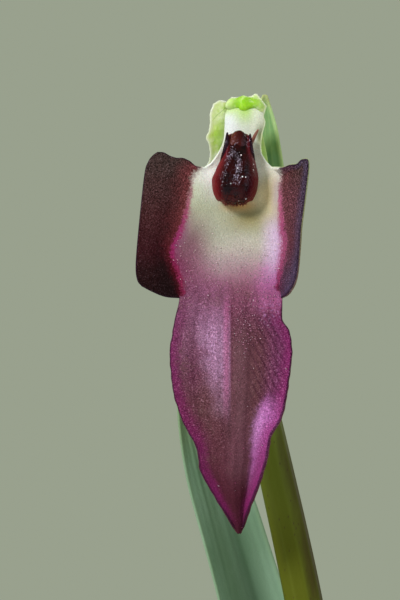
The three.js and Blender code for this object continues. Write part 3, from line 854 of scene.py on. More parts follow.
OVARY_PATH = [
    (0.6, 13.6, 5.35), (0.5, 18, 5.55), (0.8, 23, 5.4), (0.9, 27.2, 4.9), (0.6, 30.2, 3.95),
    (0.4, 31.5, 3.1), (0.4, 32.05, 2.15),
]
OVARY_RADIUS = profile((0, 1.2), (0.2, 1.4), (0.5, 1.6), (0.85, 1.5), (1, 1.3))
OVARY_CLOSING = 16
OVARY_ROWS = 120
OVARY_SIDES = 72
OVARY_RIBS = 6
RIB_HEIGHT = 0.12
RIB_TWIST = 1.2
COLLAR_FOOT = 27.9
COLLAR_WIDTH = 3.9
COLLAR_HEIGHT = 5
COLLAR_ROWS = 60
COLLAR_COLUMNS = 110
COLLAR_LEFT = profile(
    (27.9, -2.25), (28.4, -2.0), (29.4, -2.02), (30, -2.3), (30.5, -2.05), (31.9, -1.95), (32.6, -1.7)
)
COLLAR_RIGHT = profile((28.2, 2.0), (29.4, 1.8), (30.3, 1.9), (31.2, 2.1), (31.6, 2.0), (32.4, 2.2))
COLLAR_RIM = profile(
    (0, 32.5), (0.12, 32.75), (0.28, 32.6), (0.34, 33.05), (0.6, 32.95), (0.8, 33.25), (0.9, 32.9),
    (1, 32.35),
)
COLLAR_DEPTH = profile((0, 0.7), (0.12, 0.95), (0.3, 1.35), (0.55, 1.9), (0.8, 1.8), (1, 1.5))
COLLAR_FUNNEL = 1.2
# The swollen green roll on the collar's torn edge: places and thickness
ROLL = [
    (-0.85, 32.35, 1.0), (-0.35, 32.5, 1.12), (0.1, 32.48, 1.2), (0.55, 32.47, 1.2), (1.0, 32.53, 1.22),
    (1.4, 32.52, 1.25), (1.68, 32.25, 1.28), (1.85, 31.65, 1.45),
]
ROLL_RADIUS = profile((0, 0.2), (0.12, 0.4), (0.28, 0.54), (0.41, 0.7), (0.54, 0.6), (0.8, 0.42), (1, 0.12))
ROLL_ROWS = 90
ROLL_SIDES = 36
ROLL_HEART = (0.6, 32.4, 1.6)
SWELLING = (0.5, 32.15, 0.45)


def ovary_body():
    path = in_flower(*route(OVARY_PATH, shares(OVARY_ROWS)).T)
    turn = circle(OVARY_SIDES)[None]
    share = shares(OVARY_ROWS)[:, None]
    ribs = np.cos(OVARY_RIBS * (turn + RIB_TWIST * share))
    radius = OVARY_RADIUS(share) + RIB_HEIGHT * np.sign(ribs) * np.abs(ribs) ** 0.7
    return tube(path, radius * closing(share, OVARY_CLOSING, 0.01), OVARY_SIDES, ribs)


def collar_sheet():
    across, down = np.meshgrid(shares(COLLAR_COLUMNS), shares(COLLAR_ROWS))
    tear = 0.04 * np.sin(31 * across + 2 * np.sin(9 * across)) * ease(across, 0.15, 0.3)
    h = mix(COLLAR_RIM(across) + tear, COLLAR_FOOT, down)
    left_tear = 0.02 * np.sin(5.5 * h) + 0.01 * np.sin(17 * h)
    u = mix(COLLAR_LEFT(h) + left_tear, COLLAR_RIGHT(h), across)
    grid = in_flower(u, h, COLLAR_DEPTH(across) + COLLAR_FUNNEL * down**2)
    edge = np.minimum(np.minimum(across, 1 - across) * COLLAR_WIDTH, down * COLLAR_HEIGHT)
    thickness = mix(0.14, 0.5, ease(edge, 0, 1.0))
    lift = (0.07 * rough(grid, 0.55, 6) + 0.04 * rough(grid, 0.22, 7)) * ease(edge, 0, 0.4)
    marks = {"place": np.stack([across, h, edge], -1)}
    return sheet(grid, thickness, marks, lift=lift)


def collar_roll():
    share = shares(ROLL_ROWS)
    path = in_flower(*route(ROLL, share).T)
    dents = 1 + 0.05 * np.cos(3 * circle(ROLL_SIDES)[None] + 9 * share[:, None])
    radius = (ROLL_RADIUS(share) * closing(2 * share - 1, 30, 0.002))[:, None] * dents
    points, faces, _ = tube(path, radius, ROLL_SIDES)
    outward = unit(points - in_flower(*ROLL_HEART))
    points = points + (0.15 * rough(points, 0.8, 8) + 0.03 * rough(points, 0.2, 9))[:, None] * outward
    away = np.linalg.norm(points - in_flower(*SWELLING), axis=1)
    return points, faces, {"swelling": ease(away, 1.2, 0.3)[:, None]}


# Stem, leaves and bract

STEM_FOOT = SOIL_TOP - HOLE_DEPTH + CLEARANCE
STEM_TOP = FLOWER_TIP + 14.3
STEM_X = profile(
    (85, 0), (120, -0.9), (150, -2.9), (175, -5.8), (201, -10.4), (212, -12.8), (221, -14.9)
)
STEM_Y = profile((85, 0), (150, 0.9), (185, 0), (212, -1.7), (221, -2.7))
STEM_RADIUS = profile((60, 2.1), (100, 1.9), (160, 1.6), (200, 1.45), (221, 1.25))
STEM_ROWS = 420
STEM_SIDES = 72
STEM_RIBS = 9
INNER_RING = STEM_RADIUS(SOIL_TOP) + CLEARANCE + BLADE / 2
OUTER_RING = INNER_RING + BLADE + CLEARANCE
ROSETTE = [
    {"azimuth": 208, "ring": OUTER_RING, "length": 74, "lean": (14, 96), "drift": 12, "half_width": 5.6},
    {"azimuth": 322, "ring": OUTER_RING, "length": 82, "lean": (12, 88), "drift": -14, "half_width": 6.0},
    {"azimuth": 84, "ring": OUTER_RING, "length": 78, "lean": (12, 92), "drift": 10, "half_width": 5.8},
    {"azimuth": 266, "ring": INNER_RING, "length": 88, "lean": (12, 58), "drift": -10, "half_width": 5.2},
    {"azimuth": 24, "ring": INNER_RING, "length": 98, "lean": (9, 50), "drift": 9, "half_width": 5.6},
    {"azimuth": 146, "ring": INNER_RING, "length": 92, "lean": (10, 54), "drift": -12, "half_width": 5.2},
]
LOW_LEAF = {
    "foot": 96, "sheath": 20, "azimuth": 335, "length": 52, "lean": (6, 34), "drift": 10,
    "half_width": 4.4, "fullest": 0.45,
}
HIGH_LEAF = {
    "foot": 132, "sheath": 19, "azimuth": 122, "length": 70, "lean": (4, 5), "drift": 9.8,
    "half_width": 3.35, "fullest": 0.76,
}
BRACT_FOOT = 13.2
BRACT_TIP = 33.4
BRACT_HALF_WIDTH = profile((0, 2.15), (0.3, 2.6), (0.6, 2.6), (0.85, 1.5), (1, 0.15))
BRACT_WRAP = profile((0, 1.15), (0.4, 0.95), (1, 0.7))
BRACT_SIDE = profile((0, 1.0), (0.5, 1.3), (1, 2.2))
BRACT_BACK = profile((0, 7.6), (0.3, 8.15), (0.6, 7.75), (1, 6.3))
LEAF_STEPS = 17
ROSETTE_GRID = (110, 37)
STEM_LEAF_GRID = (120, 41)
BRACT_GRID = (110, 33)
BRACT_STATIONS = 24


def stem_at(z):
    return np.stack([STEM_X(z), STEM_Y(z), np.asarray(z, float)], -1)


def stem_skin():
    z = np.linspace(STEM_FOOT, STEM_TOP, STEM_ROWS)
    ribs = np.cos(STEM_RIBS * circle(STEM_SIDES)[None] + 0.02 * z[:, None])
    return tube(stem_at(z), STEM_RADIUS(z)[:, None] * (1 + 0.02 * ribs), STEM_SIDES, ribs)


def leaf_stations(
    foot, sheath, azimuth, ring, clasp, length, lean, drift, half_width, channel, fullest=0.45
):
    """Midrib point, way along, way the upper face looks, half width and wrap, from foot to tip."""
    turn = math.radians(azimuth)
    outward = np.array([math.cos(turn), math.sin(turn), 0])
    sideways = np.cross([0, 0, 1], outward)
    rows = []
    for z in np.linspace(foot, foot + sheath, 4):
        upward = unit(stem_at(z + 1) - stem_at(z - 1))
        point = stem_at(z) + outward * ring
        rows.append(np.concatenate([point, upward, -outward, [ring * clasp, clasp]]))
    shoulder = (mix(fullest, 1, 0.6), 0.66 * half_width)
    wide = profile((0, ring * clasp), (fullest, half_width), shoulder, (1, 0.12))
    wrap = profile((0, clasp), (0.25, channel), (1, 0.6 * channel))
    for share in np.arange(1, LEAF_STEPS + 1) / LEAF_STEPS:
        away = math.radians(mix(lean[0], lean[1], share**1.3))
        aside = math.radians(drift * (1 - (1 - share) ** 2))
        level = upward * math.cos(away) + outward * math.sin(away)
        along = unit(level * math.cos(aside) + sideways * math.sin(aside))
        point = point + along * length / LEAF_STEPS
        inward = upward * math.sin(away) - outward * math.cos(away)
        inward = unit(inward - along * inward.dot(along))
        rows.append(np.concatenate([point, along, inward, [wide(share), wrap(share)]]))
    return np.array(rows)


def blade(stations, rows, columns, seed, fold=0.0):
    """A channelled blade through stations, with fine veins, thin edges and its midrib at the fold,
    a share of the half width from the middle."""
    fine = spline(stations, np.linspace(0, len(stations) - 1, rows))[:, None]
    point, along, inward = fine[..., 0:3], unit(fine[..., 3:6]), unit(fine[..., 6:9])
    half_width, wrap = fine[..., 9:10], fine[..., 10:11]
    across = unit(np.cross(inward, along))
    side = np.linspace(-1, 1, columns)[None, :, None]
    share = shares(rows)[:, None, None]
    angle = side * wrap
    radius = half_width / wrap
    grid = point + across * radius * np.sin(angle) + inward * radius * (1 - np.cos(angle))
    free = ease(share, 0.25, 0.6) * ease(share, 1.0, 0.85)
    ripple = 0.3 * np.sin(22 * share + 1.7 * side + seed) * side**2
    grid = grid + inward * free * (ripple + 0.25 * rough(grid, 9, seed)[..., None] * np.abs(side))
    side, share = np.broadcast_arrays(side[..., 0], share[..., 0])
    from_edge = (1 - np.abs(side)) * half_width[..., 0]
    thickness = BLADE * mix(0.3, 0.85, ease(from_edge, 0, 1.4))
    veins = 0.018 * np.cos(side * half_width[..., 0].max() * 4) * ease(from_edge, 0.2, 0.8)
    midrib = bell((side - fold) * half_width[..., 0], 0.35) * ease(share, 1.0, 0.8)
    marks = {"blade": np.stack([side - fold, share, from_edge], -1)}
    return sheet(grid, thickness, marks, lift=veins - 0.09 * midrib, keel=0.28 * midrib + 0.5 * veins)


def rosette_blade(number, options):
    outer = options["ring"] == OUTER_RING
    stations = leaf_stations(
        foot=STEM_FOOT + 2,
        sheath=12 if outer else 16,
        clasp=0.8 if outer else 0.85,
        channel=0.95,
        **options,
    )
    return blade(stations, *ROSETTE_GRID, seed=number)


def stem_blade(number, options, fold):
    ring = STEM_RADIUS(options["foot"]) + SHEATH_GAP + BLADE / 2
    stations = leaf_stations(ring=ring, clasp=2.3, channel=1.05, **options)
    return blade(stations, *STEM_LEAF_GRID, seed=number, fold=fold)


def bract_line(share):
    return in_flower(BRACT_SIDE(share), mix(BRACT_FOOT, BRACT_TIP, share), BRACT_BACK(share))


def bract_blade():
    share = shares(BRACT_STATIONS)
    line = bract_line(share)
    along = unit(bract_line(np.minimum(share + 0.02, 1)) - bract_line(np.maximum(share - 0.02, 0)))
    front = np.array([0, -1.0, 0])
    inward = unit(front - along * (along @ front)[:, None])
    columns = [line, along, inward, BRACT_HALF_WIDTH(share)[:, None], BRACT_WRAP(share)[:, None]]
    return blade(np.concatenate(columns, 1), *BRACT_GRID, seed=9)


# The pot and its soil

POT_HEIGHT = 80
RIM_RADIUS = 45
RIM_BAND = 16
RIM_STEP = 3.2
BASE_RADIUS = 30
POT_FLOOR = 6
POT_EDGE = 1.2
POT_MIDDLE = 0.5
POT_ROUNDING = 1.6
POT_ROUNDING_STEPS = 7
POT_STEP = 1.1
INNER_FOOT_RADIUS = 25.2
INNER_RIM_RADIUS = 39.8
POT_SEGMENTS = 220
DRAIN_HOLES = 3
DRAIN_RADIUS = 3.5
DRAIN_RING = 15
DRAIN_SIDES = 40
# How much wider than its own radius a drain hole is, by height
DRAIN_FLARE = (
    (-3.0, 1.0), (-0.5, 0.8), (0.0, 0.5), (0.6, 0.0), (3.0, 0.0), (5.4, 0.0), (6.0, 0.5), (6.5, 0.8),
    (12.0, 1.0),
)
SOIL_SIDES = 300
SOIL_WALL_ROWS = 24
SOIL_TOP_ROWS = 88
SOIL_FIT = 0.3


def pot_inside(z):
    return mix(INNER_FOOT_RADIUS, INNER_RIM_RADIUS, np.asarray(z, float) / POT_HEIGHT)


def rounded(corners, reach, steps):
    """An outline with its inner corners rounded off over a reach along both sides."""
    corners = np.array(corners, float)
    made = [corners[0]]
    for before, corner, after in zip(corners, corners[1:], corners[2:]):
        start, end = (
            corner + unit(other - corner) * min(reach, np.linalg.norm(other - corner) / 2)
            for other in (before, after)
        )
        t = shares(steps)[:, None]
        made.extend((1 - t) ** 2 * start + 2 * t * (1 - t) * corner + t**2 * end)
    made.append(corners[-1])
    return np.array(made)


def filled_in(outline, step):
    """An outline with points added so that none lie further apart than a step."""
    made = [outline[0]]
    for a, b in zip(outline, outline[1:]):
        count = max(1, int(np.ceil(np.linalg.norm(b - a) / step)))
        made.extend(a + (b - a) * (np.arange(1, count + 1) / count)[:, None])
    return np.array(made)


def pot_body():
    band_foot = POT_HEIGHT - RIM_BAND
    corners = [
        (POT_MIDDLE, 0),
        (BASE_RADIUS, 0),
        (RIM_RADIUS - RIM_STEP, band_foot - POT_EDGE),
        (RIM_RADIUS - POT_EDGE, band_foot),
        (RIM_RADIUS, POT_HEIGHT),
        (INNER_RIM_RADIUS, POT_HEIGHT),
        (INNER_FOOT_RADIUS + 1, POT_FLOOR),
        (POT_MIDDLE, POT_FLOOR),
    ]
    outline = filled_in(rounded(corners, POT_ROUNDING, POT_ROUNDING_STEPS), POT_STEP)

    def thrown(r, z, turn):
        """Fine rings from the maker's fingers, and the hand's unevenness."""
        rings = 0.10 * np.sin(2.1 * z + 0.8 * np.sin(0.37 * z)) + 0.05 * np.sin(5.3 * z + turn)
        wander = 0.16 * np.sin(2 * turn + 0.05 * z) + 0.08 * np.sin(5 * turn - 0.11 * z)
        fade = ease(z, 1, 4) * ease(z, POT_HEIGHT - 1, POT_HEIGHT - 4)
        return (rings * fade + wander) * ease(r, 10, 26)

    return turned(outline, POT_SEGMENTS, thrown)


def drill_body():
    parts = []
    heights, flare = np.array(DRAIN_FLARE).T
    for number in range(DRAIN_HOLES):
        angle = math.pi / 2 + number * 2 * math.pi / DRAIN_HOLES
        x, y = DRAIN_RING * math.cos(angle), DRAIN_RING * math.sin(angle)
        path = np.array([(x, y, z) for z in heights])
        parts.append(tube(path, DRAIN_RADIUS + flare[:, None], DRAIN_SIDES))
    return joined(*parts)


def soil_height(x, y):
    """The soil's top: lumpy, a little heaped round the plant and sunk at the pot's wall."""
    place = np.stack(np.broadcast_arrays(x, y, 0.0 * x), -1)
    r = np.hypot(x, y)
    lumps = 0.9 * rough(place, 7.5, 11) + 0.45 * rough(place, 2.6, 12) + 0.22 * rough(place, 1.1, 13)
    return SOIL_TOP + lumps + 1.2 * bell(r, 9) - 0.8 * ease(r, 32, 38)


def soil_body():
    floor = POT_FLOOR + CLEARANCE
    side = np.linspace(floor, SOIL_TOP - 1.5, SOIL_WALL_ROWS)
    over = (pot_inside(SOIL_TOP) + SOIL_FIT) * np.sqrt(np.linspace(1, 0.0004, SOIL_TOP_ROWS))
    r = np.concatenate([pot_inside(side) - SOIL_FIT, over])[:, None]
    turn = circle(SOIL_SIDES)[None]
    x, y = r * np.cos(turn), r * np.sin(turn)
    z = np.broadcast_to(np.append(side, 0 * over)[:, None], x.shape).copy()
    z[SOIL_WALL_ROWS:] = soil_height(x[SOIL_WALL_ROWS:], y[SOIL_WALL_ROWS:])
    top = np.zeros((*x.shape, 1))
    top[SOIL_WALL_ROWS:] = 1
    return ringed(np.stack([x, y, z], -1), {"growth": top})


# Finishes. Colours are display colours; the lip's marks are place (u, h, across) and edges (depth in
# the dark of a lobe, distance from the outline, distance into the tongue's lit side)


def throat_colour(u, h, across, flush, level):
    """White at the neck, tan round the callus's foot, pink to the left and lilac to the right, with the
    callus's cast shadow painted in and painted light where the throat and neck lie in shade.
    """
    colour = level.tints(
        (17.0, (0.50, 0.28, 0.38)),
        (18.5, (0.54, 0.32, 0.42)),
        (19.5, (0.63, 0.47, 0.54)),
        (20.6, (0.66, 0.58, 0.60)),
        (21.7, (0.70, 0.67, 0.64)),
        (22.8, (0.68, 0.68, 0.62)),
        (24.5, (0.72, 0.73, 0.64)),
        (26.0, (0.82, 0.84, 0.76)),
        (27.0, (0.90, 0.91, 0.88)),
        (29.0, (0.89, 0.90, 0.86)),
        (30.5, (0.82, 0.84, 0.79)),
        (33.0, (0.83, 0.87, 0.78)),
    )
    # Partly the throat's own white, partly painted light that lifts the shade left of the callus.
    whitening = u.near(-2.0, 1.3) * h.near(27.2, 2.6)
    colour = colour.wash((0.99, 1.0, 1.0), whitening)
    whitening = u.near(-0.5, 1.1) * h.near(30.9, 2.0)
    colour = colour.wash((0.86, 0.87, 0.91), whitening * 0.8)
    # Partly a yellow-green patch under the callus, partly the painted penumbra of the callus's shadow below
    # it.
    lime_and_shade = u.near(1.0, 3.0) * h.near(23.8, 1.7)
    colour = colour.wash((0.53, 0.48, 0.28), lime_and_shade * 0.8)
    # Partly the throat's own tan under the callus's foot, partly painted shade where the foot shadows the
    # throat.
    tan = u.near(0.2, 2.0) * h.near(24.85, 0.8)
    colour = colour.wash((0.86, 0.66, 0.38), tan * 0.85)
    # Painted shadow: a dull yellow tint where the callus casts its shadow to the right.
    callus_shadow_tint = u.rise(1.5, 2.4) * flush.rise(0.1, -0.5) * h.near(25.7, 2.7)
    colour = colour.wash((0.80, 0.72, 0.55), callus_shadow_tint * 0.85)
    fold = u.rise(2.4, 3.0) * h.near(25.6, 2.6)
    colour = colour.wash((0.67, 0.61, 0.62), fold * 0.9)
    left = u.rise(-1.2, -3.7) * h.rise(25.2, 21.6)
    colour = colour.wash((0.51, 0.28, 0.39), left * 0.85)
    right = u.rise(1.5, 3.0)
    colour = colour.wash((0.79, 0.68, 0.83), right * h.rise(24.6, 22.6) * 0.8)
    colour = colour.wash((0.70, 0.40, 0.68), u.rise(0.8, 2.6) * level.rise(20.8, 18.6) * 0.85)
    blush = (flush + 0.9).rise(0.0, 1.0) * level.rise(25.5, 22.5)
    colour = colour.wash((0.66, 0.31, 0.56), blush * 0.5)
    ruddy = (flush + 1.3).rise(0.0, 1.3) * h.rise(22.6, 20.4) * u.rise(0.0, -1.0)
    colour = colour.wash((0.46, 0.18, 0.30), ruddy * 0.8)
    corner = u.near(-4.0, 0.8) * h.near(17.8, 0.6)
    colour = colour.wash((0.68, 0.28, 0.54), corner * 0.7)
    spot = u.near(0.6, 1.3) * h.near(32.2, 1.7)
    colour = colour.wash((0.64, 0.80, 0.26), spot * 0.9)
    crown = h.rise(31.4, 32.1) * u.rise(0.9, -0.3)
    colour = colour.wash((0.74, 0.83, 0.56), crown * 0.9)
    # Painted light: a warm lightening inside the callus's cast shadow.
    warm_light_in_shadow = u.near(1.6, 1.5) * h.near(25.7, 1.5)
    colour = colour.wash((1.0, 0.92, 0.74), warm_light_in_shadow * 0.55)
    # Painted light: the neck's right side is whitened where it lies in the roll's shade.
    neck_painted_light = h.rise(29.6, 30.9) * across.rise(0.2, 0.7)
    colour = colour.wash((1.0, 1.0, 0.94), neck_painted_light * 0.6)
    bruise = u.rise(1.2, 1.65) * h.near(30.0, 1.5)
    return colour.wash((0.44, 0.47, 0.22), bruise * 0.8)


def tongue_colour(u, h, across, rim, lit, cloud, fine):
    """Maroon, with a silvery left partly painted as sheen, painted shade along a seam down the middle,
    purple margins, and painted light on the right side where it turns to the lamp.
    """
    colour = (h + cloud * 1.5).tints(
        (0.0, (0.24, 0.07, 0.13)),
        (1.5, (0.27, 0.09, 0.15)),
        (4.0, (0.31, 0.13, 0.19)),
        (7.0, (0.36, 0.19, 0.24)),
        (11.0, (0.38, 0.23, 0.26)),
        (15.0, (0.39, 0.22, 0.27)),
        (17.0, (0.46, 0.25, 0.35)),
        (19.5, (0.54, 0.32, 0.43)),
    )
    rosy = u.rise(0.6, 2.0) * h.rise(16.2, 18.0)
    colour = colour.wash((0.66, 0.36, 0.56), rosy * 0.8)
    left = u.rise(-0.2, -1.0) * h.rise(9.5, 15.0)
    colour = colour.wash((0.50, 0.31, 0.44), left * 0.6)
    dusky = u.near(-3.4, 1.3) * h.near(12.0, 3.0)
    colour = colour.wash((0.36, 0.12, 0.26), dusky * 0.45)
    ash = (cloud + fine * 0.6).rise(0.0, 0.25)
    colour = colour.wash((0.42, 0.29, 0.31), ash * h.rise(3.0, 7.0) * 0.5)
    # Partly the tongue's pale pinkish grey, partly a painted sheen where its left half faces the lamp.
    silver_sheen = u.rise(-0.38, -0.60) * (u + h * 0.25 - 0.8 + cloud * 1.8).rise(-0.7, 1.3)
    silver_sheen = silver_sheen * (h + cloud * 2).rise(7.5, 13.2) * h.rise(18.2, 14.6)
    colour = colour.wash((0.73, 0.55, 0.73), silver_sheen * (0.55 + fine * 0.8))
    rose = u.near(-0.75, 0.4) * h.rise(8.0, 12.0) * h.rise(18.4, 17.0)
    colour = colour.wash((0.70, 0.36, 0.56), rose * 0.55)
    # Painted shade along the middle, where the tongue turns from its lit left half to its shaded right
    # half.
    seam = (u + fine * 0.08).near(-0.42, 0.13) * h.rise(9.5, 12.5) * h.rise(18.2, 16.8)
    colour = colour.wash((0.35, 0.12, 0.21), seam * 0.6)
    pulp = u.near(0.15, 1.4) * h.rise(3.0, 6.0) * h.rise(17.0, 14.0)
    colour = colour.wash((0.52, 0.35, 0.42), pulp * 0.35)
    shoulder = across.rise(0.42, 0.85) * h.rise(7.0, 10.0) * h.rise(17.6, 15.8)
    colour = colour.wash((0.43, 0.19, 0.36), shoulder * 0.85)
    flare = (u * 11 + h * 6.2 + cloud * 5).wave().rise(0.1, 0.95)
    flare = flare * across.rise(0.2, 0.5) * h.rise(8, 11) * h.rise(17.4, 15.5)
    colour = colour.wash((0.24, 0.07, 0.17), flare * 0.5)
    vein = (across * 27 + cloud * 4 + fine).wave().rise(0.4, 1.0)
    colour = colour.wash((0.25, 0.07, 0.14), vein * 0.18)
    # Partly the pink of the right side, partly painted light where that side curls up towards the lamp.
    orchid = (lit + cloud * 0.8 + fine * 0.5).rise(-0.4, 0.4)
    orchid = orchid * (h + u.rise(1.9, 2.9) * 0.9).rise(12.0, 9.6)
    colour = colour.wash((0.68, 0.38, 0.66), orchid * h.rise(0.6, 8.0) * 0.9)
    # Painted highlight on the lit right side.
    gleam = (lit + fine).near(0.3, 0.9) * h.near(8.2, 2.6)
    colour = colour.wash((0.80, 0.58, 0.82), gleam * 0.4)
    # Painted light and shade: lighter and darker patches stand for crumpled tissue on the tongue's right
    # shoulder.
    crumple = u.rise(1.3, 2.1) * h.near(16.9, 1.4)
    fold_light_and_shade = fine + cloud * 0.4
    colour = colour.wash((0.68, 0.47, 0.70), fold_light_and_shade.rise(0.0, 0.2) * crumple * 0.6)
    colour = colour.wash((0.48, 0.12, 0.34), fold_light_and_shade.rise(-0.05, -0.2) * crumple * 0.6)
    margin = (rim + fine * 0.6 + cloud * 0.6).rise(1.0, 0.1) * h.rise(0.3, 2.5) * h.rise(19, 14)
    colour = colour.wash((0.48, 0.12, 0.37), margin * 0.75)
    hem = (rim + fine * 0.6).rise(1.7, 0.5) * u.rise(-1.0, -2.2) * h.near(8.6, 2.8)
    return colour.wash((0.45, 0.13, 0.33), hem * 0.5)


def lobe_colour(g, u, h, rim, edge, cloud, fine):
    """Nearly black, browner at the top, crimson near the throat and violet along the right edge, partly a
    painted sheen.
    """
    colour = (h + cloud * 2).tints(
        (18.0, (0.08, 0.0, 0.01)),
        (20.0, (0.11, 0.0, 0.01)),
        (21.5, (0.17, 0.0, 0.03)),
        (24.0, (0.21, 0.06, 0.07)),
        (26.0, (0.22, 0.11, 0.11)),
        (28.5, (0.21, 0.15, 0.14)),
    )
    right = u.rise(1.0, 2.5)
    colour = colour.wash((0.29, 0.18, 0.23), right * h.rise(28.0, 24.5) * 0.85)
    ash = (fine + cloud * 0.5).rise(0.0, 0.3)
    colour = colour.wash((0.32, 0.20, 0.20), ash * (0.15 + right * 0.3 + h.rise(22, 26) * 0.1))
    colour = colour.wash((0.28, 0.21, 0.31), right * h.rise(22.5, 19.0) * 0.7)
    # Partly the violet of the right lobe's rolled edge, partly a painted sheen along it.
    violet = right * (rim + fine * 0.5 + cloud * 0.3).rise(0.5, 0.1)
    colour = colour.wash((0.24, 0.20, 0.30), violet * 0.75)
    high = h.rise(19.5, 25.5)
    glow = ((edge + cloud * 0.8) / (high * 0.85 + 0.9)).rise(1.0, 0.0) * (1 - right * 0.55)
    crimson = g.blend((0.38, 0.02, 0.12), (0.48, 0.22, 0.24), high)
    return colour.wash(crimson, glow * 0.85)


def paint_lip(g):
    u, h, across = g.marks("place")
    flush, rim, lit = g.marks("edges")
    cloud = g.grain(1.8, 3.0) - 0.5
    fine = g.grain(0.22, 3.0) - 0.5
    pile = g.grain(0.10, 2.0, 0.6) - 0.5
    level = h + cloud * 1.2 + fine * 0.6

    throat = throat_colour(u, h, across, flush, level)
    tongue = tongue_colour(u, h, across, rim, lit, cloud, fine)
    drift = h.rise(23.5, 17.8)
    dots = (pile + drift * 0.34 - 0.26).rise(-0.05, 0.10)
    cover = dots * 0.45 + level.rise(20.4, 17.0) * 0.8
    colour = g.blend(throat, tongue, cover.most(level.rise(18.4, 16.8)))

    streaks = g.grain(0.11, 1.0, stretch=(0.3, 1, 1)) - 0.5
    edge = flush + streaks * 0.45 + fine * 0.45
    lobe = lobe_colour(g, u, h, rim, edge, cloud, fine)
    colour = colour.wash(lobe, edge.rise(-0.30, 0.36))
    fringe = edge.near(0.03, 0.32) * h.rise(27.8, 24.5) * h.rise(17.8, 18.4)
    pink = g.blend((0.56, 0.08, 0.30), (0.70, 0.12, 0.46), (u.size() * 0.2 + h * 0.1).rise(2.9, 3.2))
    colour = colour.wash(pink, fringe * 0.6)
    thread = (rim + fine * 0.1).rise(0.09, 0.03) * flush.rise(-0.2, 0.1).most(h.rise(18.0, 17.0))
    colour = colour.wash((0.14, 0.05, 0.14), thread * 0.7)

    back = g.mark("side").rise(0.5, -0.5)
    under = h.tints(
        (0.0, (0.34, 0.14, 0.20)),
        (14.0, (0.44, 0.28, 0.31)),
        (20.0, (0.52, 0.42, 0.38)),
        (24.0, (0.66, 0.66, 0.50)),
        (30.0, (0.76, 0.82, 0.64)),
    )
    colour = colour.wash(under, back * 0.75)
    dark = (1 - flush.rise(0.3, -0.1)) * (1 - back)
    smooth = u.near(0.6, 1.8) * h.rise(16.0, 14.0)
    furred = h.rise(18.5, 16.0) * h.rise(3.0, 9.0) * (1 - smooth)
    # Painted glints: the grain brightens and darkens the colour in specks for light caught by the papillae,
    # with a white sparkle and a grey sheen on the dark lobes.
    glints = (0.5 + h.rise(24, 18) * (0.9 + h.rise(3, 9) * 0.9 - smooth * 0.5) + furred * 0.4).most(
        dark * (2.5 + h.rise(22, 26) * 1.8 + u.rise(1, 3) * 1.0)
    )
    colour = g.scaled(colour, 1 + (pile + pile.rise(0.10, 0.30) * 0.3) * glints)
    sparkle = pile.rise(0.04, 0.34) * glints * (0.02 + furred * 0.045)
    colour = colour.wash((0.90, 0.84, 0.94), sparkle)
    colour = colour.wash((0.42, 0.38, 0.42), pile.rise(-0.20, 0.30) * dark * (0.03 + h.rise(19, 26) * 0.06))
    return look(colour, 0.62 - pile * 0.5 - dark * 0.08, g.relief(pile + fine * 0.5 + 0.5, 0.07, 0.7))


def paint_callus(g):
    across, down, part = g.marks("place")
    cloud = g.grain(0.7, 3.0)
    fine = g.grain(0.12, 2.0)
    colour = g.blend((0.16, 0.0, 0.0), (0.05, 0.0, 0.0), cloud.rise(0.35, 0.65))
    colour = colour.wash((0.30, 0.10, 0.06), down.rise(0.78, 0.95) * fine.rise(0.4, 0.6) * 0.7)
    rim = (across.size() + (cloud - 0.5) * 0.25).rise(0.48, 1.06)
    crimson = g.blend((0.45, 0.04, 0.09), (0.40, 0.02, 0.07), across.rise(-0.5, 0.5))
    colour = colour.wash(crimson, rim)
    side = g.parts(g.space())[0] - FLOWER_X
    knob = part.rise(0.6, 0.75) * part.rise(1.3, 1.1)
    colour = colour.wash((0.24, 0.05, 0.03), knob * cloud.rise(0.2, 0.6))
    # Painted light and shade: the knob is lighter and tan on its left, towards the lamp, and darker on its
    # right.
    colour = colour.wash((0.36, 0.17, 0.12), knob * (side + (fine - 0.5) * 0.5).rise(0.15, -0.35) * 0.8)
    colour = colour.wash((0.15, 0.03, 0.03), knob * side.rise(0.25, 0.6) * 0.8)
    colour = colour.wash((0.12, 0.02, 0.08), part.near(0.5, 0.5))
    colour = colour.wash((0.50, 0.33, 0.28), part.rise(1.1, 1.5))
    # Painted highlights: small white glints on the pear's front.
    glint_dots = g.cells(0.5).rise(0.13, 0.08) * part.rise(0.2, 0.1) * across.rise(-0.8, 0.4)
    colour = colour.wash((0.96, 0.94, 0.98), glint_dots)
    bumps = g.cells(0.16)
    gloss = 0.05 + fine * 0.14 + rim * 0.45 + knob * 0.14
    return look(colour, gloss, g.relief(bumps * 0.8 + fine * 0.8, 0.062, 0.6))


